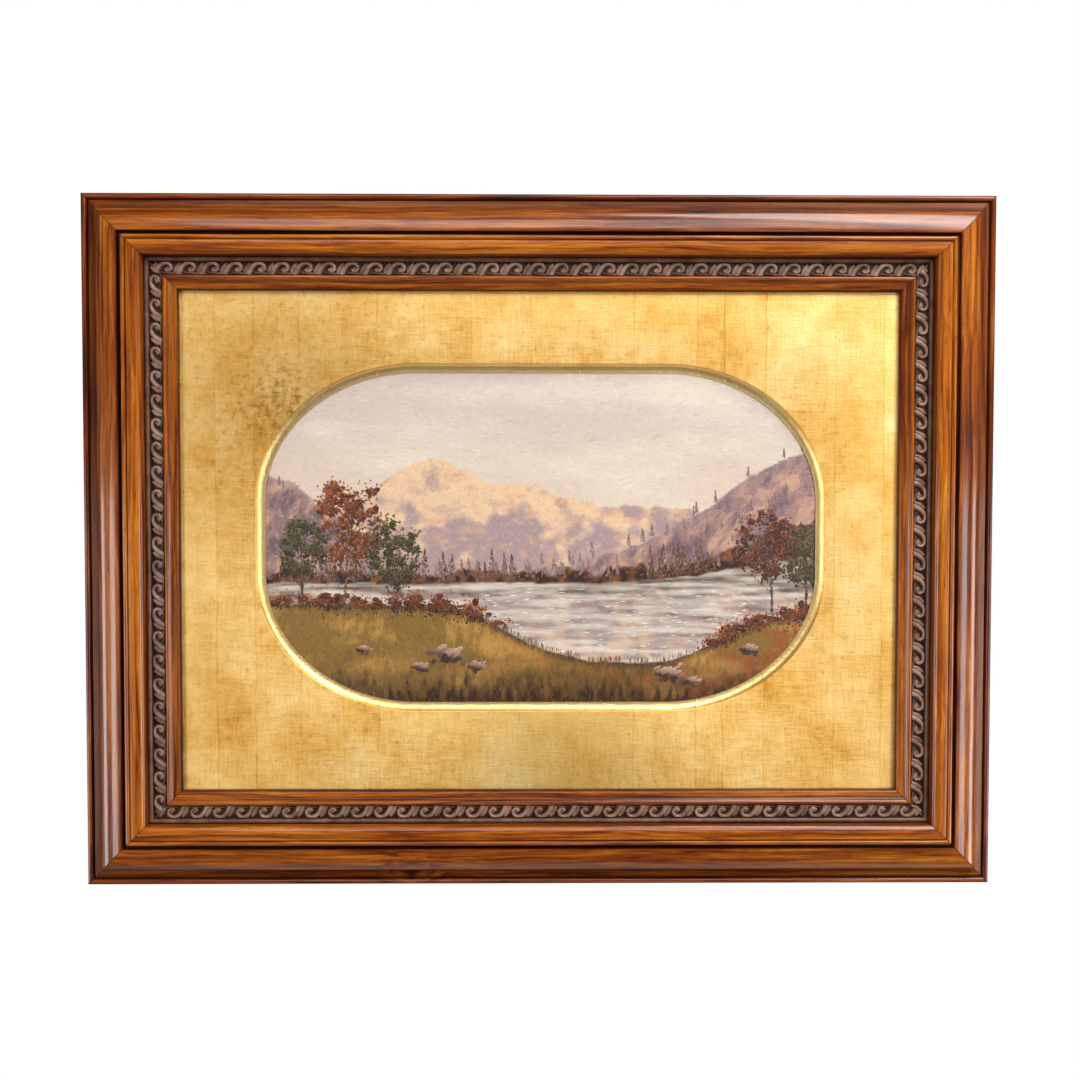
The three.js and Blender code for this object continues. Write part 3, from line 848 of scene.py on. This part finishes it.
def laid_gold_leaf():
    material, tree, shader = new_material("laid_gold_leaf")
    place = add(tree, "TexCoord", output="Object")
    split = add(tree, "SeparateXYZ", {0: place}).node.outputs
    wobble = add(
        tree, "TexNoise", {"Vector": place, "Scale": 1 / SWAY_LENGTH, "Detail": 2}, output="Color",
    )
    swayed = add(tree, "VectorMath", {0: wobble, 1: (SWAY_BY, SWAY_BY, 0)}, operation="MULTIPLY")
    flat = add(tree, "CombineXYZ", {"X": split["X"], "Y": split["Z"]})
    laid = add(tree, "VectorMath", {0: flat, 1: swayed}, operation="ADD")
    across, up = add(tree, "SeparateXYZ", {0: laid}).node.outputs[:2]

    def torn(place_along, size, offset=0.0):
        """Cells of uneven size along one line: each cell's own tone, and its own edge."""
        at = add(tree, "Math", {0: place_along, 1: 1 / size, 2: offset}, operation="MULTIPLY_ADD")
        cell = add(
            tree, "TexVoronoi", {"W": at, "Scale": 1}, voronoi_dimensions="1D", output="Color",
        )
        own, strength = add(tree, "SeparateColor", {0: cell}).node.outputs[:2]
        edge = add(
            tree, "TexVoronoi", {"W": at, "Scale": 1},
            voronoi_dimensions="1D", feature="DISTANCE_TO_EDGE",
        )
        line = add(
            tree, "MapRange",
            {"Value": edge, "From Min": 0, "From Max": LAP_WIDTH / size, "To Min": strength,
             "To Max": 0},
        )
        return own, line

    column, upright_lap = torn(across, LEAF_WIDTH)
    stagger = add(tree, "Math", {0: column, 1: 7.0}, operation="MULTIPLY")
    leaf, level_lap = torn(up, LEAF_HEIGHT, stagger)
    faint = add(tree, "Math", {0: level_lap, 1: 0.25}, operation="MULTIPLY")
    laps = add(tree, "Math", {0: upright_lap, 1: faint}, operation="MAXIMUM")
    cloud = add(
        tree, "TexNoise", {"Vector": place, "Scale": 1 / CLOUD_SIZE, "Detail": 7, "Roughness": 0.68},
    )
    scratches = []
    for width, height in ((SCRATCH_WIDTH, SCRATCH_LENGTH), (SCRATCH_LENGTH, SCRATCH_WIDTH)):
        drawn_out = add(
            tree, "VectorMath", {0: place, 1: (1 / width, 1 / SCRATCH_LENGTH, 1 / height)},
            operation="MULTIPLY",
        )
        scratches.append(add(
            tree, "TexNoise", {"Vector": drawn_out, "Scale": 1, "Detail": 3, "Roughness": 0.6},
        ))
    upright, level = scratches
    linen = add(tree, "Math", {0: upright, 1: level}, operation="ADD")
    tone = add(tree, "Mix", {0: 0.1, 2: cloud, 3: leaf}, data_type="FLOAT")
    half_linen = add(tree, "Math", {0: linen, 1: 0.5}, operation="MULTIPLY")
    tone = add(tree, "Mix", {0: 0.3, 2: tone, 3: half_linen}, data_type="FLOAT")
    lapped = add(tree, "Math", {0: laps, 1: -0.12, 2: tone}, operation="MULTIPLY_ADD")
    gold = add(
        tree, "ValToRGB", {"Fac": lapped},
        stops=[(0.3, "#cd903c"), (0.42, "#eaba63"), (0.55, "#f8d287"), (0.7, "#fde6ac")],
    )

    def near(spot, reach):
        """A share that falls from 1 at a spot to 0 at its reach."""
        away = add(tree, "VectorMath", {0: place, 1: spot}, operation="DISTANCE", output="Value")
        return add(
            tree, "MapRange",
            {"Value": away, "From Min": 0, "From Max": reach, "To Min": 1, "To Max": 0},
            interpolation_type="SMOOTHSTEP",
        )

    speck = add(
        tree, "TexNoise", {"Vector": place, "Scale": 1 / SPECK_SIZE, "Detail": 5, "Roughness": 0.72},
    )
    sparse = add(
        tree, "Math", {0: near(RUBBED_AT, RUBBED_REACH), 1: 0.17, 2: speck},
        operation="MULTIPLY_ADD",
    )
    rubbed = add(
        tree, "MapRange",
        {"Value": sparse, "From Min": 0.58, "From Max": 0.76, "To Min": 0, "To Max": 0.6},
    )
    dulled = add(tree, "Math", {0: near(RUBBED_AT, DULLED_REACH), 1: speck}, operation="MULTIPLY")
    greened = add(
        tree, "Math", {0: near(GREENED_AT, GREENED_REACH), 1: level}, operation="MULTIPLY",
    )
    aged = add(tree, "Mix", {0: greened, 6: gold, 7: linear("#bc9c58")}, data_type="RGBA", output=2)
    aged = add(tree, "Mix", {0: dulled, 6: aged, 7: linear("#9c6a20")}, data_type="RGBA", output=2)
    worn = add(tree, "Mix", {0: rubbed, 6: aged, 7: linear("#7e5420")}, data_type="RGBA", output=2)
    burnished_and_sheen = add(tree, "Attribute", attribute_name="burnished_and_sheen", output="Fac")
    # The hollow edge is painted paler as a painted sheen. Its lower roughness is the burnish.
    pale = add(tree, "Math", {0: burnished_and_sheen, 1: 0.5}, operation="MULTIPLY")
    shown = add(tree, "Mix", {0: pale, 6: worn, 7: linear("#ffe0a0")}, data_type="RGBA", output=2)
    rough = add(
        tree, "MapRange",
        {"Value": linen, "From Min": 0.7, "From Max": 1.3, "To Min": 0.52, "To Max": 0.68},
    )
    sheen = add(tree, "Mix", {0: burnished_and_sheen, 2: rough, 3: 0.4}, data_type="FLOAT")
    cracks = add(
        tree, "TexVoronoi", {"Vector": laid, "Scale": 1 / CRACKLE}, feature="DISTANCE_TO_EDGE",
    )
    crack = add(
        tree, "MapRange",
        {"Value": cracks, "From Min": 0, "From Max": 0.04, "To Min": -0.25, "To Max": 0},
    )
    lap = add(tree, "Math", {0: laps, 1: 0.8, 2: linen}, operation="MULTIPLY_ADD")
    relief = add(tree, "Math", {0: lap, 1: crack}, operation="ADD")
    bump = add(tree, "Bump", {"Height": relief, "Strength": 0.75, "Distance": 0.22 * MM})
    feed(shader, {"Base Color": shown, "Metallic": 1, "Roughness": sheen, "Normal": bump})
    return material


gilding = laid_gold_leaf()
gilded_panel = build_gilded_panel()
print("gilded panel faces:", len(gilded_panel.data.polygons))

# %% [markdown]
# ## The picture
#
# The picture is a quiet landscape of no real place: an evening sky, a mauve range with the
# sun on it, a wooded shore, a still lake and a bank of dry grass. An oil painter blocks in
# the big tones thinly and then works over them with loaded strokes. The script does the
# same. The board is a fine grid whose points carry a thin underpainting in an attribute.
# Everything on it is a seeded drift of noise along a few curves, so it repeats exactly,
# and each drift has a seed of its own.

# %% Soft noise for clouds, rock and leaves
BOARD_FRONT = 9.6
PAINT_SEED = 41


def soft_noise(x, y, seed, octaves=4):
    """Smooth noise from 0 to 1, for arrays of places measured in cells."""
    total = np.zeros_like(x, dtype=float)
    weight = 0
    for octave in range(octaves):
        table = np.random.default_rng(seed + 17 * octave).random((128, 128))
        fx, fy = x * 2 ** octave, y * 2 ** octave
        ix, iy = np.floor(fx).astype(int), np.floor(fy).astype(int)
        sx, sy = fx - ix, fy - iy
        sx, sy = sx * sx * (3 - 2 * sx), sy * sy * (3 - 2 * sy)
        corner = [[table[(ix + a) % 128, (iy + b) % 128] for b in (0, 1)] for a in (0, 1)]
        low = corner[0][0] * (1 - sx) + corner[1][0] * sx
        high = corner[0][1] * (1 - sx) + corner[1][1] * sx
        total += (low * (1 - sy) + high * sy) * 0.55 ** octave
        weight += 0.55 ** octave
    return total / weight


def hill(x, centre, width, height):
    return height * np.exp(-(((x - centre) / width) ** 2))


def mix(a, b, share):
    """Blends two colours, or two arrays of them, by an array of shares."""
    share = np.clip(share, 0, 1)[..., None]
    return np.asarray(a) * (1 - share) + np.asarray(b) * share


def paint(hex_code):
    return np.array(linear(hex_code)[:3])


# %% Lay out the landscape, in mm from the middle of the window
def range_line(x):
    """The skyline of the far range."""
    rock = soft_noise(x / 30, x * 0, 5, 6) - 0.5
    return 12 + hill(x, -84, 40, 40) + hill(x, -18, 36, 24) + hill(x, 70, 60, 14) + 18 * rock


def hill_line(x):
    """The near hills, which run down from both edges to the water."""
    tops = soft_noise(x / 20, x * 0, 9, 4) - 0.5
    return -28 + hill(x, -205, 78, 74) + hill(x, 225, 135, 96) + 9 * tops


def shore_line(x):
    return -32 + hill(x, 210, 90, 20) + 3 * (soft_noise(x / 14, x * 0, 12, 3) - 0.5)


def bank_line(x):
    """The near bank, which dips in the middle to let the water through."""
    lie = -47 - 43 / (1 + np.exp(-(x + 22) / 20)) + 37 / (1 + np.exp(-(x - 132) / 17))
    return lie + 5 * (soft_noise(x / 18, x * 0, 21, 3) - 0.5)


SKY_HIGH, SKY_LOW, CLOUD = paint("#ccbbb0"), paint("#d9c5b0"), paint("#decfbe")
FAR_LIT, FAR_WARM, FAR_SHADE = paint("#e4c09a"), paint("#d3a084"), paint("#a8908f")
HILL_LIT, HILL_MID, HILL_SHADE = paint("#c09880"), paint("#a07c76"), paint("#6f5a60")
WOOD_LIT, WOOD_SHADE = paint("#7c4a30"), paint("#372019")
LAKE_PALE, LAKE_DEEP = paint("#e2d6c8"), paint("#867a6b")
GRASS_LIT, GRASS_WARM = paint("#b78b44"), paint("#935526")
GRASS_OLIVE, GRASS_SHADE = paint("#86652c"), paint("#382114")


def far_side(x, z):
    """The sky and the land beyond the water."""
    cloud = soft_noise(x / 80 + z / 160, z / 26, 31, 5)
    sky = mix(SKY_LOW, SKY_HIGH, (z - 15) / 80)
    colour = mix(sky, CLOUD, (cloud - 0.47) * 3)
    lit = soft_noise(x / 16 + z / 22, z / 13 - x / 26, 43, 6)
    far = mix(FAR_SHADE, FAR_LIT, (lit - 0.42) * 4 + (z - 4) / 50)
    far = mix(far, FAR_WARM, (soft_noise(x / 9 + z / 20, z / 6, 44, 4) - 0.56) * 3)
    colour = mix(colour, far, (range_line(x) - z) / 1.2)
    slope = soft_noise(x / 9 - z / 14, z / 16 + x / 40, 47, 5)
    trunks = soft_noise(x / 2.2, z / 9, 48, 3)
    near = mix(HILL_SHADE, HILL_MID, (slope - 0.32) * 4 + (trunks - 0.5) * 1.5)
    near = mix(near, HILL_LIT, (slope - 0.56) * 7)
    near = mix(near, FAR_SHADE, 0.45 - (hill_line(x) - z) / 22)
    colour = mix(colour, near, (hill_line(x) - z) / 1.2)
    wood_top = shore_line(x) + 3 + 11 * soft_noise(x / 8, x * 0, 52, 3) + hill(x, 205, 60, 18)
    wood = mix(WOOD_SHADE, WOOD_LIT, (soft_noise(x / 5, z / 5, 57, 4) - 0.44) * 4)
    return mix(colour, wood, (wood_top - z) / 1.4)


def underpainting(x, z):
    """The colour at a place in the picture, as linear values."""
    shore = shore_line(x)
    sway = 5 * (soft_noise(x / 30, z / 2.2, 62, 3) - 0.5)
    mirrored = far_side(x + sway, shore + 0.9 * (shore - z) + sway)
    ripple = soft_noise(x / 30, z / 2.4, 61, 4)
    lake = mix(mirrored, LAKE_DEEP, 0.3)
    lake = mix(lake, LAKE_PALE, 0.34 + (ripple - 0.5) * 1.8)
    colour = mix(far_side(x, z), lake, (shore - z) / 0.8)
    bank_top = bank_line(x)
    turf = soft_noise(x / 46 + z / 60, z / 15 - x / 90, 67, 5)
    tuft = soft_noise(x / 3, z / 8, 68, 3)
    bank = mix(GRASS_OLIVE, GRASS_WARM, (turf - 0.4) * 5 + (x - 60) / 160)
    bank = mix(bank, GRASS_LIT, (turf - 0.48) * 4 + (tuft - 0.5) * 1.6)
    bank = mix(bank, GRASS_SHADE, (-84 - z) / 34 + (tuft - 0.5) * 1.2)
    bank = mix(bank, GRASS_SHADE, 1 - (bank_top - z) / 7)
    colour = mix(colour, bank, (bank_top - z) / 1.2)
    grain = soft_noise(x / 1.6, z / 1.6, 71, 2)[..., None]
    return np.clip(colour * (0.82 + 0.14 * grain), 0, 1)


# %% Build the painted board
PAINTED_CELLS = (380, 228)
PAINTED_HALF = (200, 121)
board_low, board_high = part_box("painted_board")


def set_pigment(mesh, colours):
    layer = mesh.attributes.new("pigment", "FLOAT_COLOR", "POINT")
    with_alpha = np.concatenate([colours, np.ones((len(colours), 1))], axis=1)
    layer.data.foreach_set("color", with_alpha.astype(np.float32).ravel())


def build_board():
    bm = bmesh.new()
    bmesh.ops.create_grid(bm, x_segments=PAINTED_CELLS[0], y_segments=PAINTED_CELLS[1], size=1)
    rim = [edge for edge in bm.edges if edge.is_boundary]
    skirt = bmesh.ops.extrude_edge_only(bm, edges=rim)["geom"]
    back = [item for item in skirt if isinstance(item, bmesh.types.BMVert)]
    back_rim = [item for item in skirt if isinstance(item, bmesh.types.BMEdge) and item.is_boundary]
    bmesh.ops.translate(bm, verts=back, vec=(0, 0, -1))
    bmesh.ops.contextual_create(bm, geom=back_rim)
    for vert in bm.verts:
        place = []
        for part, painted, whole in zip(vert.co, PAINTED_HALF, SHEET_HALF):
            place.append(math.copysign(whole, part) if abs(part) > 0.999 else part * painted)
        on_back = vert.co.z < -0.5
        height = BOARD_FRONT - (board_high.y - board_low.y) / MM if on_back else BOARD_FRONT
        vert.co = (place[0] * MM, -height * MM, place[1] * MM)
    bmesh.ops.translate(bm, verts=bm.verts, vec=FRAME_CENTRE)
    bmesh.ops.recalc_face_normals(bm, faces=bm.faces)
    mesh = to_mesh("painted_picture", bm)
    places = np.empty(len(mesh.vertices) * 3, dtype=np.float32)
    mesh.vertices.foreach_get("co", places)
    places = places.reshape(-1, 3)
    x = places[:, 0] / MM - WINDOW["shift"]
    z = (places[:, 2] - FRAME_CENTRE.z) / MM - WINDOW["lift"]
    set_pigment(mesh, underpainting(x, z))
    return new_piece(mesh.name, mesh, varnished_oils, "oil_paint", "painted_board")


# %% [markdown]
# ## Oil paint
#
# Oil paint dries with the marks of the brush in it, under a thin varnish. The pigment is an
# attribute that each grid point and each stroke carries, so one material serves both.

# %% Make the oil paint
CANVAS_THREAD = 0.8 * MM
BRISTLE_MARK = 2.2 * MM


def varnished_oil_paint():
    material, tree, shader = new_material("varnished_oil_paint")
    place = add(tree, "TexCoord", output="Object")
    pigment = add(tree, "Attribute", attribute_name="pigment", output="Color")
    bristle = add(
        tree, "TexNoise",
        {"Vector": place, "Scale": 1 / BRISTLE_MARK, "Detail": 5, "Roughness": 0.65},
    )
    thread = add(
        tree, "TexWave",
        {"Vector": place, "Scale": 0.314 / CANVAS_THREAD, "Distortion": 1.5, "Detail": 1},
        wave_type="BANDS", bands_direction="DIAGONAL", output="Fac",
    )
    relief = add(tree, "Mix", {0: 0.2, 2: bristle, 3: thread}, data_type="FLOAT")
    bump = add(tree, "Bump", {"Height": relief, "Strength": 0.4, "Distance": 0.25 * MM})
    feed(shader, {
        "Base Color": pigment, "Roughness": 0.42, "IOR": 1.48, "Coat Weight": 0.15,
        "Coat Roughness": 0.25, "Normal": bump,
    })
    return material


varnished_oils = varnished_oil_paint()
picture = build_board()
print("painted board faces:", len(picture.data.polygons))

# %% [markdown]
# ## Loaded strokes
#
# A loaded stroke is a low ridge of paint with sloping edges. A short five-sided frustum,
# stretched and sunk into the board, is one stroke. It has few faces, because it is repeated
# thousands of times. Each group of strokes is a drift of places with a size, a direction
# and a colour, laid from the sky forward as a painter works. A painter never mixes quite
# the same colour twice, so every stroke is tinted a little towards one of a few accents.
# The strokes are two pieces, the far ones and the near ones, because together they would
# have too many faces for one.

# %% The stroke and the groups of strokes
draw = np.random.default_rng(PAINT_SEED)
far_strokes, near_strokes = [], []
ACCENTS = np.array([paint(code) for code in ("#e8b28c", "#9d97ad", "#e6cf9c", "#8c5f52")])


def lay(layer, x, z, length, width, angle, colour, lift=0.16, vary=0.14, accent=0.08):
    """Adds a group of strokes. Sizes are in mm and angles in degrees from level."""
    count = len(x)
    spread = draw.uniform(0.7, 1.3, (2, count))
    tint = 1 + vary * draw.uniform(-1, 1, (count, 1))
    touch = accent * draw.uniform(0, 2, (count, 1))
    shown = colour * tint * (1 - touch) + ACCENTS[draw.integers(0, len(ACCENTS), count)] * touch
    layer.append(np.column_stack([
        x, z, length * spread[0], width * spread[1], np.radians(angle + draw.normal(0, 9, count)),
        lift * draw.uniform(0.6, 1.2, count), np.clip(shown, 0, 1),
    ]))


def scatter(count, x_range, z_range):
    return draw.uniform(*x_range, count), draw.uniform(*z_range, count)


def keep(places, test):
    chosen = test(*places)
    return places[0][chosen], places[1][chosen]


def tuft_of_leaves(x, z, wide, high, lit, shade, count, size):
    """A rounded cluster of leaf strokes, lit from above on the left."""
    mass_x, mass_z = draw.normal(0, wide * 0.5, 6), draw.normal(0, high * 0.5, 6)
    mass = mix(shade, lit, draw.uniform(0, 0.35, 6))
    lay(near_strokes, x + mass_x, z + mass_z, wide * 1.7, high * 1.5, 0, mass, accent=0)
    dx, dz = draw.normal(0, wide, count), draw.normal(0, high, count)
    light = 0.42 + 0.34 * dz / high - 0.14 * dx / wide + draw.normal(0, 0.22, count)
    lay(
        near_strokes, x + dx, z + dz, size, size * 0.62, draw.uniform(0, 180, count),
        mix(shade, lit, light), lift=0.24, accent=0.02,
    )


def broad_tree(x, foot, height, spread, lit, shade, lean):
    """A tree with a forked trunk and a crown built of clusters of leaf strokes."""
    rise = np.linspace(0, 1, 26)
    trunk_x = x + lean * height * rise + 0.8 * np.sin(5 * rise)
    bark = mix(paint("#2e1b14"), paint("#6b4a38"), draw.uniform(0, 0.6, 26))
    lay(
        near_strokes, trunk_x, foot + height * 0.75 * rise, 5, 3 - 1.9 * rise, 90 - 40 * lean,
        bark, lift=0.2,
    )
    for fork in draw.uniform(0.25, 0.9, 14):
        side = draw.choice([-1, 1])
        reach = spread * draw.uniform(0.4, 0.8) * (1.15 - fork)
        along = np.linspace(0, 1, 7)
        lay(
            near_strokes, x + lean * height * fork + side * reach * along,
            foot + height * (0.7 * fork + 0.16 * along), 4, 1.1, 60 if side > 0 else 120,
            paint("#35211a"), lift=0.2,
        )
    for _ in range(34):
        angle, out = draw.uniform(0, 2 * math.pi), math.sqrt(draw.uniform(0, 1))
        cx = x + lean * height + spread * out * math.cos(angle)
        cz = foot + height * 0.66 + height * 0.34 * out * math.sin(angle)
        warmth = draw.uniform(0, 1)
        tone = mix(lit, lit * 0.55 + shade, np.array(warmth))
        tuft_of_leaves(cx, cz, spread * 0.15, height * 0.045, tone, shade, 26, 2.9)


def far_firs(xs, grounds, talls, lit, shade):
    """Small far trees: upright strokes that widen from the tip down."""
    for x, ground, tall in zip(xs, grounds, talls):
        count = int(8 + tall * 2)
        rise = draw.uniform(0, 1, count)
        dx = draw.uniform(-1, 1, count) * tall * 0.17 * (1.05 - rise)
        light = 0.4 - 0.35 * dx / (tall * 0.17) + draw.normal(0, 0.15, count)
        lay(far_strokes, x + dx, ground + tall * rise, 3.2, 1.3, 88, mix(shade, lit, light), lift=0.14)


# %% Lay the strokes from the sky forward
HALF_X, HALF_Z = 197, 119
x, z = keep(scatter(1300, (-HALF_X, HALF_X), (0, HALF_Z)), lambda x, z: z > range_line(x) + 1)
lay(
    far_strokes, x, z, 9, 2.6, 8 + 12 * np.sin(x / 40), underpainting(x, z),
    lift=0.06, vary=0.03, accent=0.05,
)
x, z = keep(
    scatter(2700, (-HALF_X, HALF_X), (-22, 66)),
    lambda x, z: (z < range_line(x) - 0.6) & (z > hill_line(x)),
)
lay(
    far_strokes, x, z, 4.2, 1.4, np.where(draw.random(len(x)) < 0.5, -48, 42),
    underpainting(x, z), lift=0.14, vary=0.07, accent=0.16,
)
x, z = keep(
    scatter(3300, (-HALF_X, HALF_X), (-30, 62)),
    lambda x, z: (z < hill_line(x) - 0.5) & (z > shore_line(x) + 3),
)
downhill = np.where(x > 0, 32, -34)
lay(
    far_strokes, x, z, 3.6, 1.2, np.where(draw.random(len(x)) < 0.6, 86, downhill),
    underpainting(x, z), lift=0.14, vary=0.12, accent=0.14,
)
far_x = np.sort(draw.uniform(-HALF_X, HALF_X, 120))
far_rise = hill_line(far_x) - shore_line(far_x)
far_ground = shore_line(far_x) + 4 + draw.uniform(0, 1, 120) * far_rise
far_firs(far_x, far_ground, draw.uniform(4, 9, 120), paint("#8f716a"), paint("#685356"))
wood_x = np.sort(np.concatenate([draw.uniform(-HALF_X, -20, 26), draw.uniform(70, HALF_X, 30)]))
far_firs(
    wood_x, shore_line(wood_x) + 1, draw.uniform(8, 24, 56), paint("#74452d"), paint("#2b1b16"),
)
x, z = keep(
    scatter(1500, (-HALF_X, HALF_X), (-110, -14)),
    lambda x, z: (z < shore_line(x) - 0.5) & (z > bank_line(x)),
)
lay(far_strokes, x, z, 8, 1.0, 0, underpainting(x, z), lift=0.1, vary=0.07)
x, z = keep(
    scatter(150, (-40, 170), (-86, -36)), lambda x, z: (z < shore_line(x) - 2) & (z > bank_line(x)),
)
lay(far_strokes, x, z, 6, 0.8, 0, paint("#e2d8ca"), lift=0.08, vary=0.05, accent=0.05)
x, z = keep(
    scatter(5200, (-HALF_X, HALF_X), (-HALF_Z, -20)), lambda x, z: z < bank_line(x) + 1,
)
lay(
    near_strokes, x, z, 4.6, 0.9, 84 + 16 * np.sin(x / 23), underpainting(x, z - 2),
    lift=0.2, vary=0.2, accent=0.06,
)

# %% The near trees, the rocks and the bushes
AUTUMN, AUTUMN_SHADE = paint("#b3652c"), paint("#40201a")
GREEN, GREEN_SHADE = paint("#6b6234"), paint("#211c14")
RUSSET, RUSSET_SHADE = paint("#8e4a28"), paint("#2c1712")


def rock(x, z, size):
    """A boulder: slanting strokes, pale above and mauve below."""
    count = 60
    dx, dz = draw.normal(0, size * 0.3, count), draw.normal(0, size * 0.17, count)
    light = np.clip(0.28 + 2.6 * dz / size + 0.6 * dx / size + draw.normal(0, 0.08, count), 0, 1)
    lay(
        near_strokes, x + dx, z + dz, size * 0.6, size * 0.3, 24,
        mix(paint("#38251e"), paint("#b08877"), light), lift=0.24, vary=0.06, accent=0.02,
    )


for bush_x in np.concatenate([draw.uniform(-200, -30, 26), draw.uniform(122, 200, 16)]):
    foot = bank_line(np.array([bush_x]))[0]
    autumn = draw.random() < 0.45
    tuft_of_leaves(
        bush_x, foot + draw.uniform(0, 3), draw.uniform(3, 7), draw.uniform(2, 5),
        AUTUMN if autumn else RUSSET, RUSSET_SHADE, 40, 2.4,
    )
# Each tree's place, height, spread, lit and shaded leaves, and lean.
for tree in (
    (-142, -52, 92, 24, AUTUMN, AUTUMN_SHADE, 0.06),
    (-103, -55, 68, 17, GREEN, GREEN_SHADE, -0.04),
    (-172, -47, 60, 16, GREEN, GREEN_SHADE, 0.02),
    (166, -54, 74, 20, RUSSET, RUSSET_SHADE, -0.05),
    (190, -50, 54, 14, GREEN, GREEN_SHADE, 0),
):
    broad_tree(*tree)
for place_x, place_z, size in (
    (-66, -84, 14), (-47, -92, 9), (-86, -93, 8), (92, -98, 12), (108, -103, 8),
    (-128, -80, 7), (150, -80, 9),
):
    rock(place_x, place_z, size)
reed_x = draw.uniform(-40, 110, 120)
reed_foot = bank_line(reed_x) + 1.5
lay(near_strokes, reed_x, reed_foot, 6, 0.6, 86, paint("#7a4a22"), lift=0.24, vary=0.3)
print("strokes:", sum(map(len, far_strokes)), "far and", sum(map(len, near_strokes)), "near")


# %% Turn the strokes into two pieces
def build_strokes(name, groups):
    table = np.concatenate(groups)
    inside = (np.abs(table[:, 0]) < HALF_X) & (np.abs(table[:, 1]) < HALF_Z)
    table = table[inside]
    bm = bmesh.new()
    bmesh.ops.create_cone(bm, segments=5, radius1=1, radius2=0.55, depth=2, cap_ends=True)
    bmesh.ops.triangulate(bm, faces=bm.faces)
    bmesh.ops.recalc_face_normals(bm, faces=bm.faces)
    one = to_mesh("one_stroke", bm)
    corners = np.array([vert.co for vert in one.vertices])
    faces = np.array([face.vertices for face in one.polygons])
    x, z, length, width, angle, lift = (table[:, k, None] for k in range(6))
    along, across = corners[None, :, 0] * length / 2, corners[None, :, 1] * width / 2
    points = np.stack([
        x + along * np.cos(angle) - across * np.sin(angle) + WINDOW["shift"],
        -BOARD_FRONT - corners[None, :, 2] * lift,
        z + along * np.sin(angle) + across * np.cos(angle) + WINDOW["lift"],
    ], axis=-1).reshape(-1, 3) * MM + np.array(FRAME_CENTRE)
    start = np.arange(len(table))[:, None, None] * len(corners)
    mesh = bpy.data.meshes.new(name)
    mesh.from_pydata(points, [], (faces[None] + start).reshape(-1, 3))
    set_pigment(mesh, np.repeat(table[:, 6:9], len(corners), axis=0))
    bpy.data.meshes.remove(one)
    return new_piece(name, mesh, varnished_oils, "oil_paint")


for name, groups in (("far_strokes", far_strokes), ("near_strokes", near_strokes)):
    piece = build_strokes(name, groups)
    print(f"{name}: {len(piece.data.polygons)} faces")

# %% [markdown]
# ## The backing board
#
# The last sheet in the rabbet is a thin board that keeps dust off the picture. Nobody sees
# it, so it is left bare, and it has browned and spotted with age. The CAD solid already
# has its true shape, so it only takes a finish.

# %% Finish the backing board
STAIN_SIZE = 90 * MM
FIBRE_SIZE = 1.5 * MM


def aged_backing_board():
    material, tree, shader = new_material("aged_backing_board")
    place = add(tree, "TexCoord", output="Object")
    stain = add(
        tree, "TexNoise", {"Vector": place, "Scale": 1 / STAIN_SIZE, "Detail": 5, "Roughness": 0.6},
    )
    fibre = add(tree, "TexNoise", {"Vector": place, "Scale": 1 / FIBRE_SIZE, "Detail": 3})
    tone = add(tree, "Mix", {0: 0.25, 2: stain, 3: fibre}, data_type="FLOAT")
    colour = add(tree, "ValToRGB", {"Fac": tone}, stops=[(0.35, "#7d6142"), (0.65, "#a98d66")])
    bump = add(tree, "Bump", {"Height": fibre, "Strength": 0.3, "Distance": 0.15 * MM})
    feed(shader, {"Base Color": colour, "Roughness": 0.88, "Normal": bump})
    return material


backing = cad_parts["backing_board"]
for slot in backing.material_slots:
    slot.link = "OBJECT"
    slot.material = aged_backing_board()
print("backing board slots:", [slot.material.name for slot in backing.material_slots])
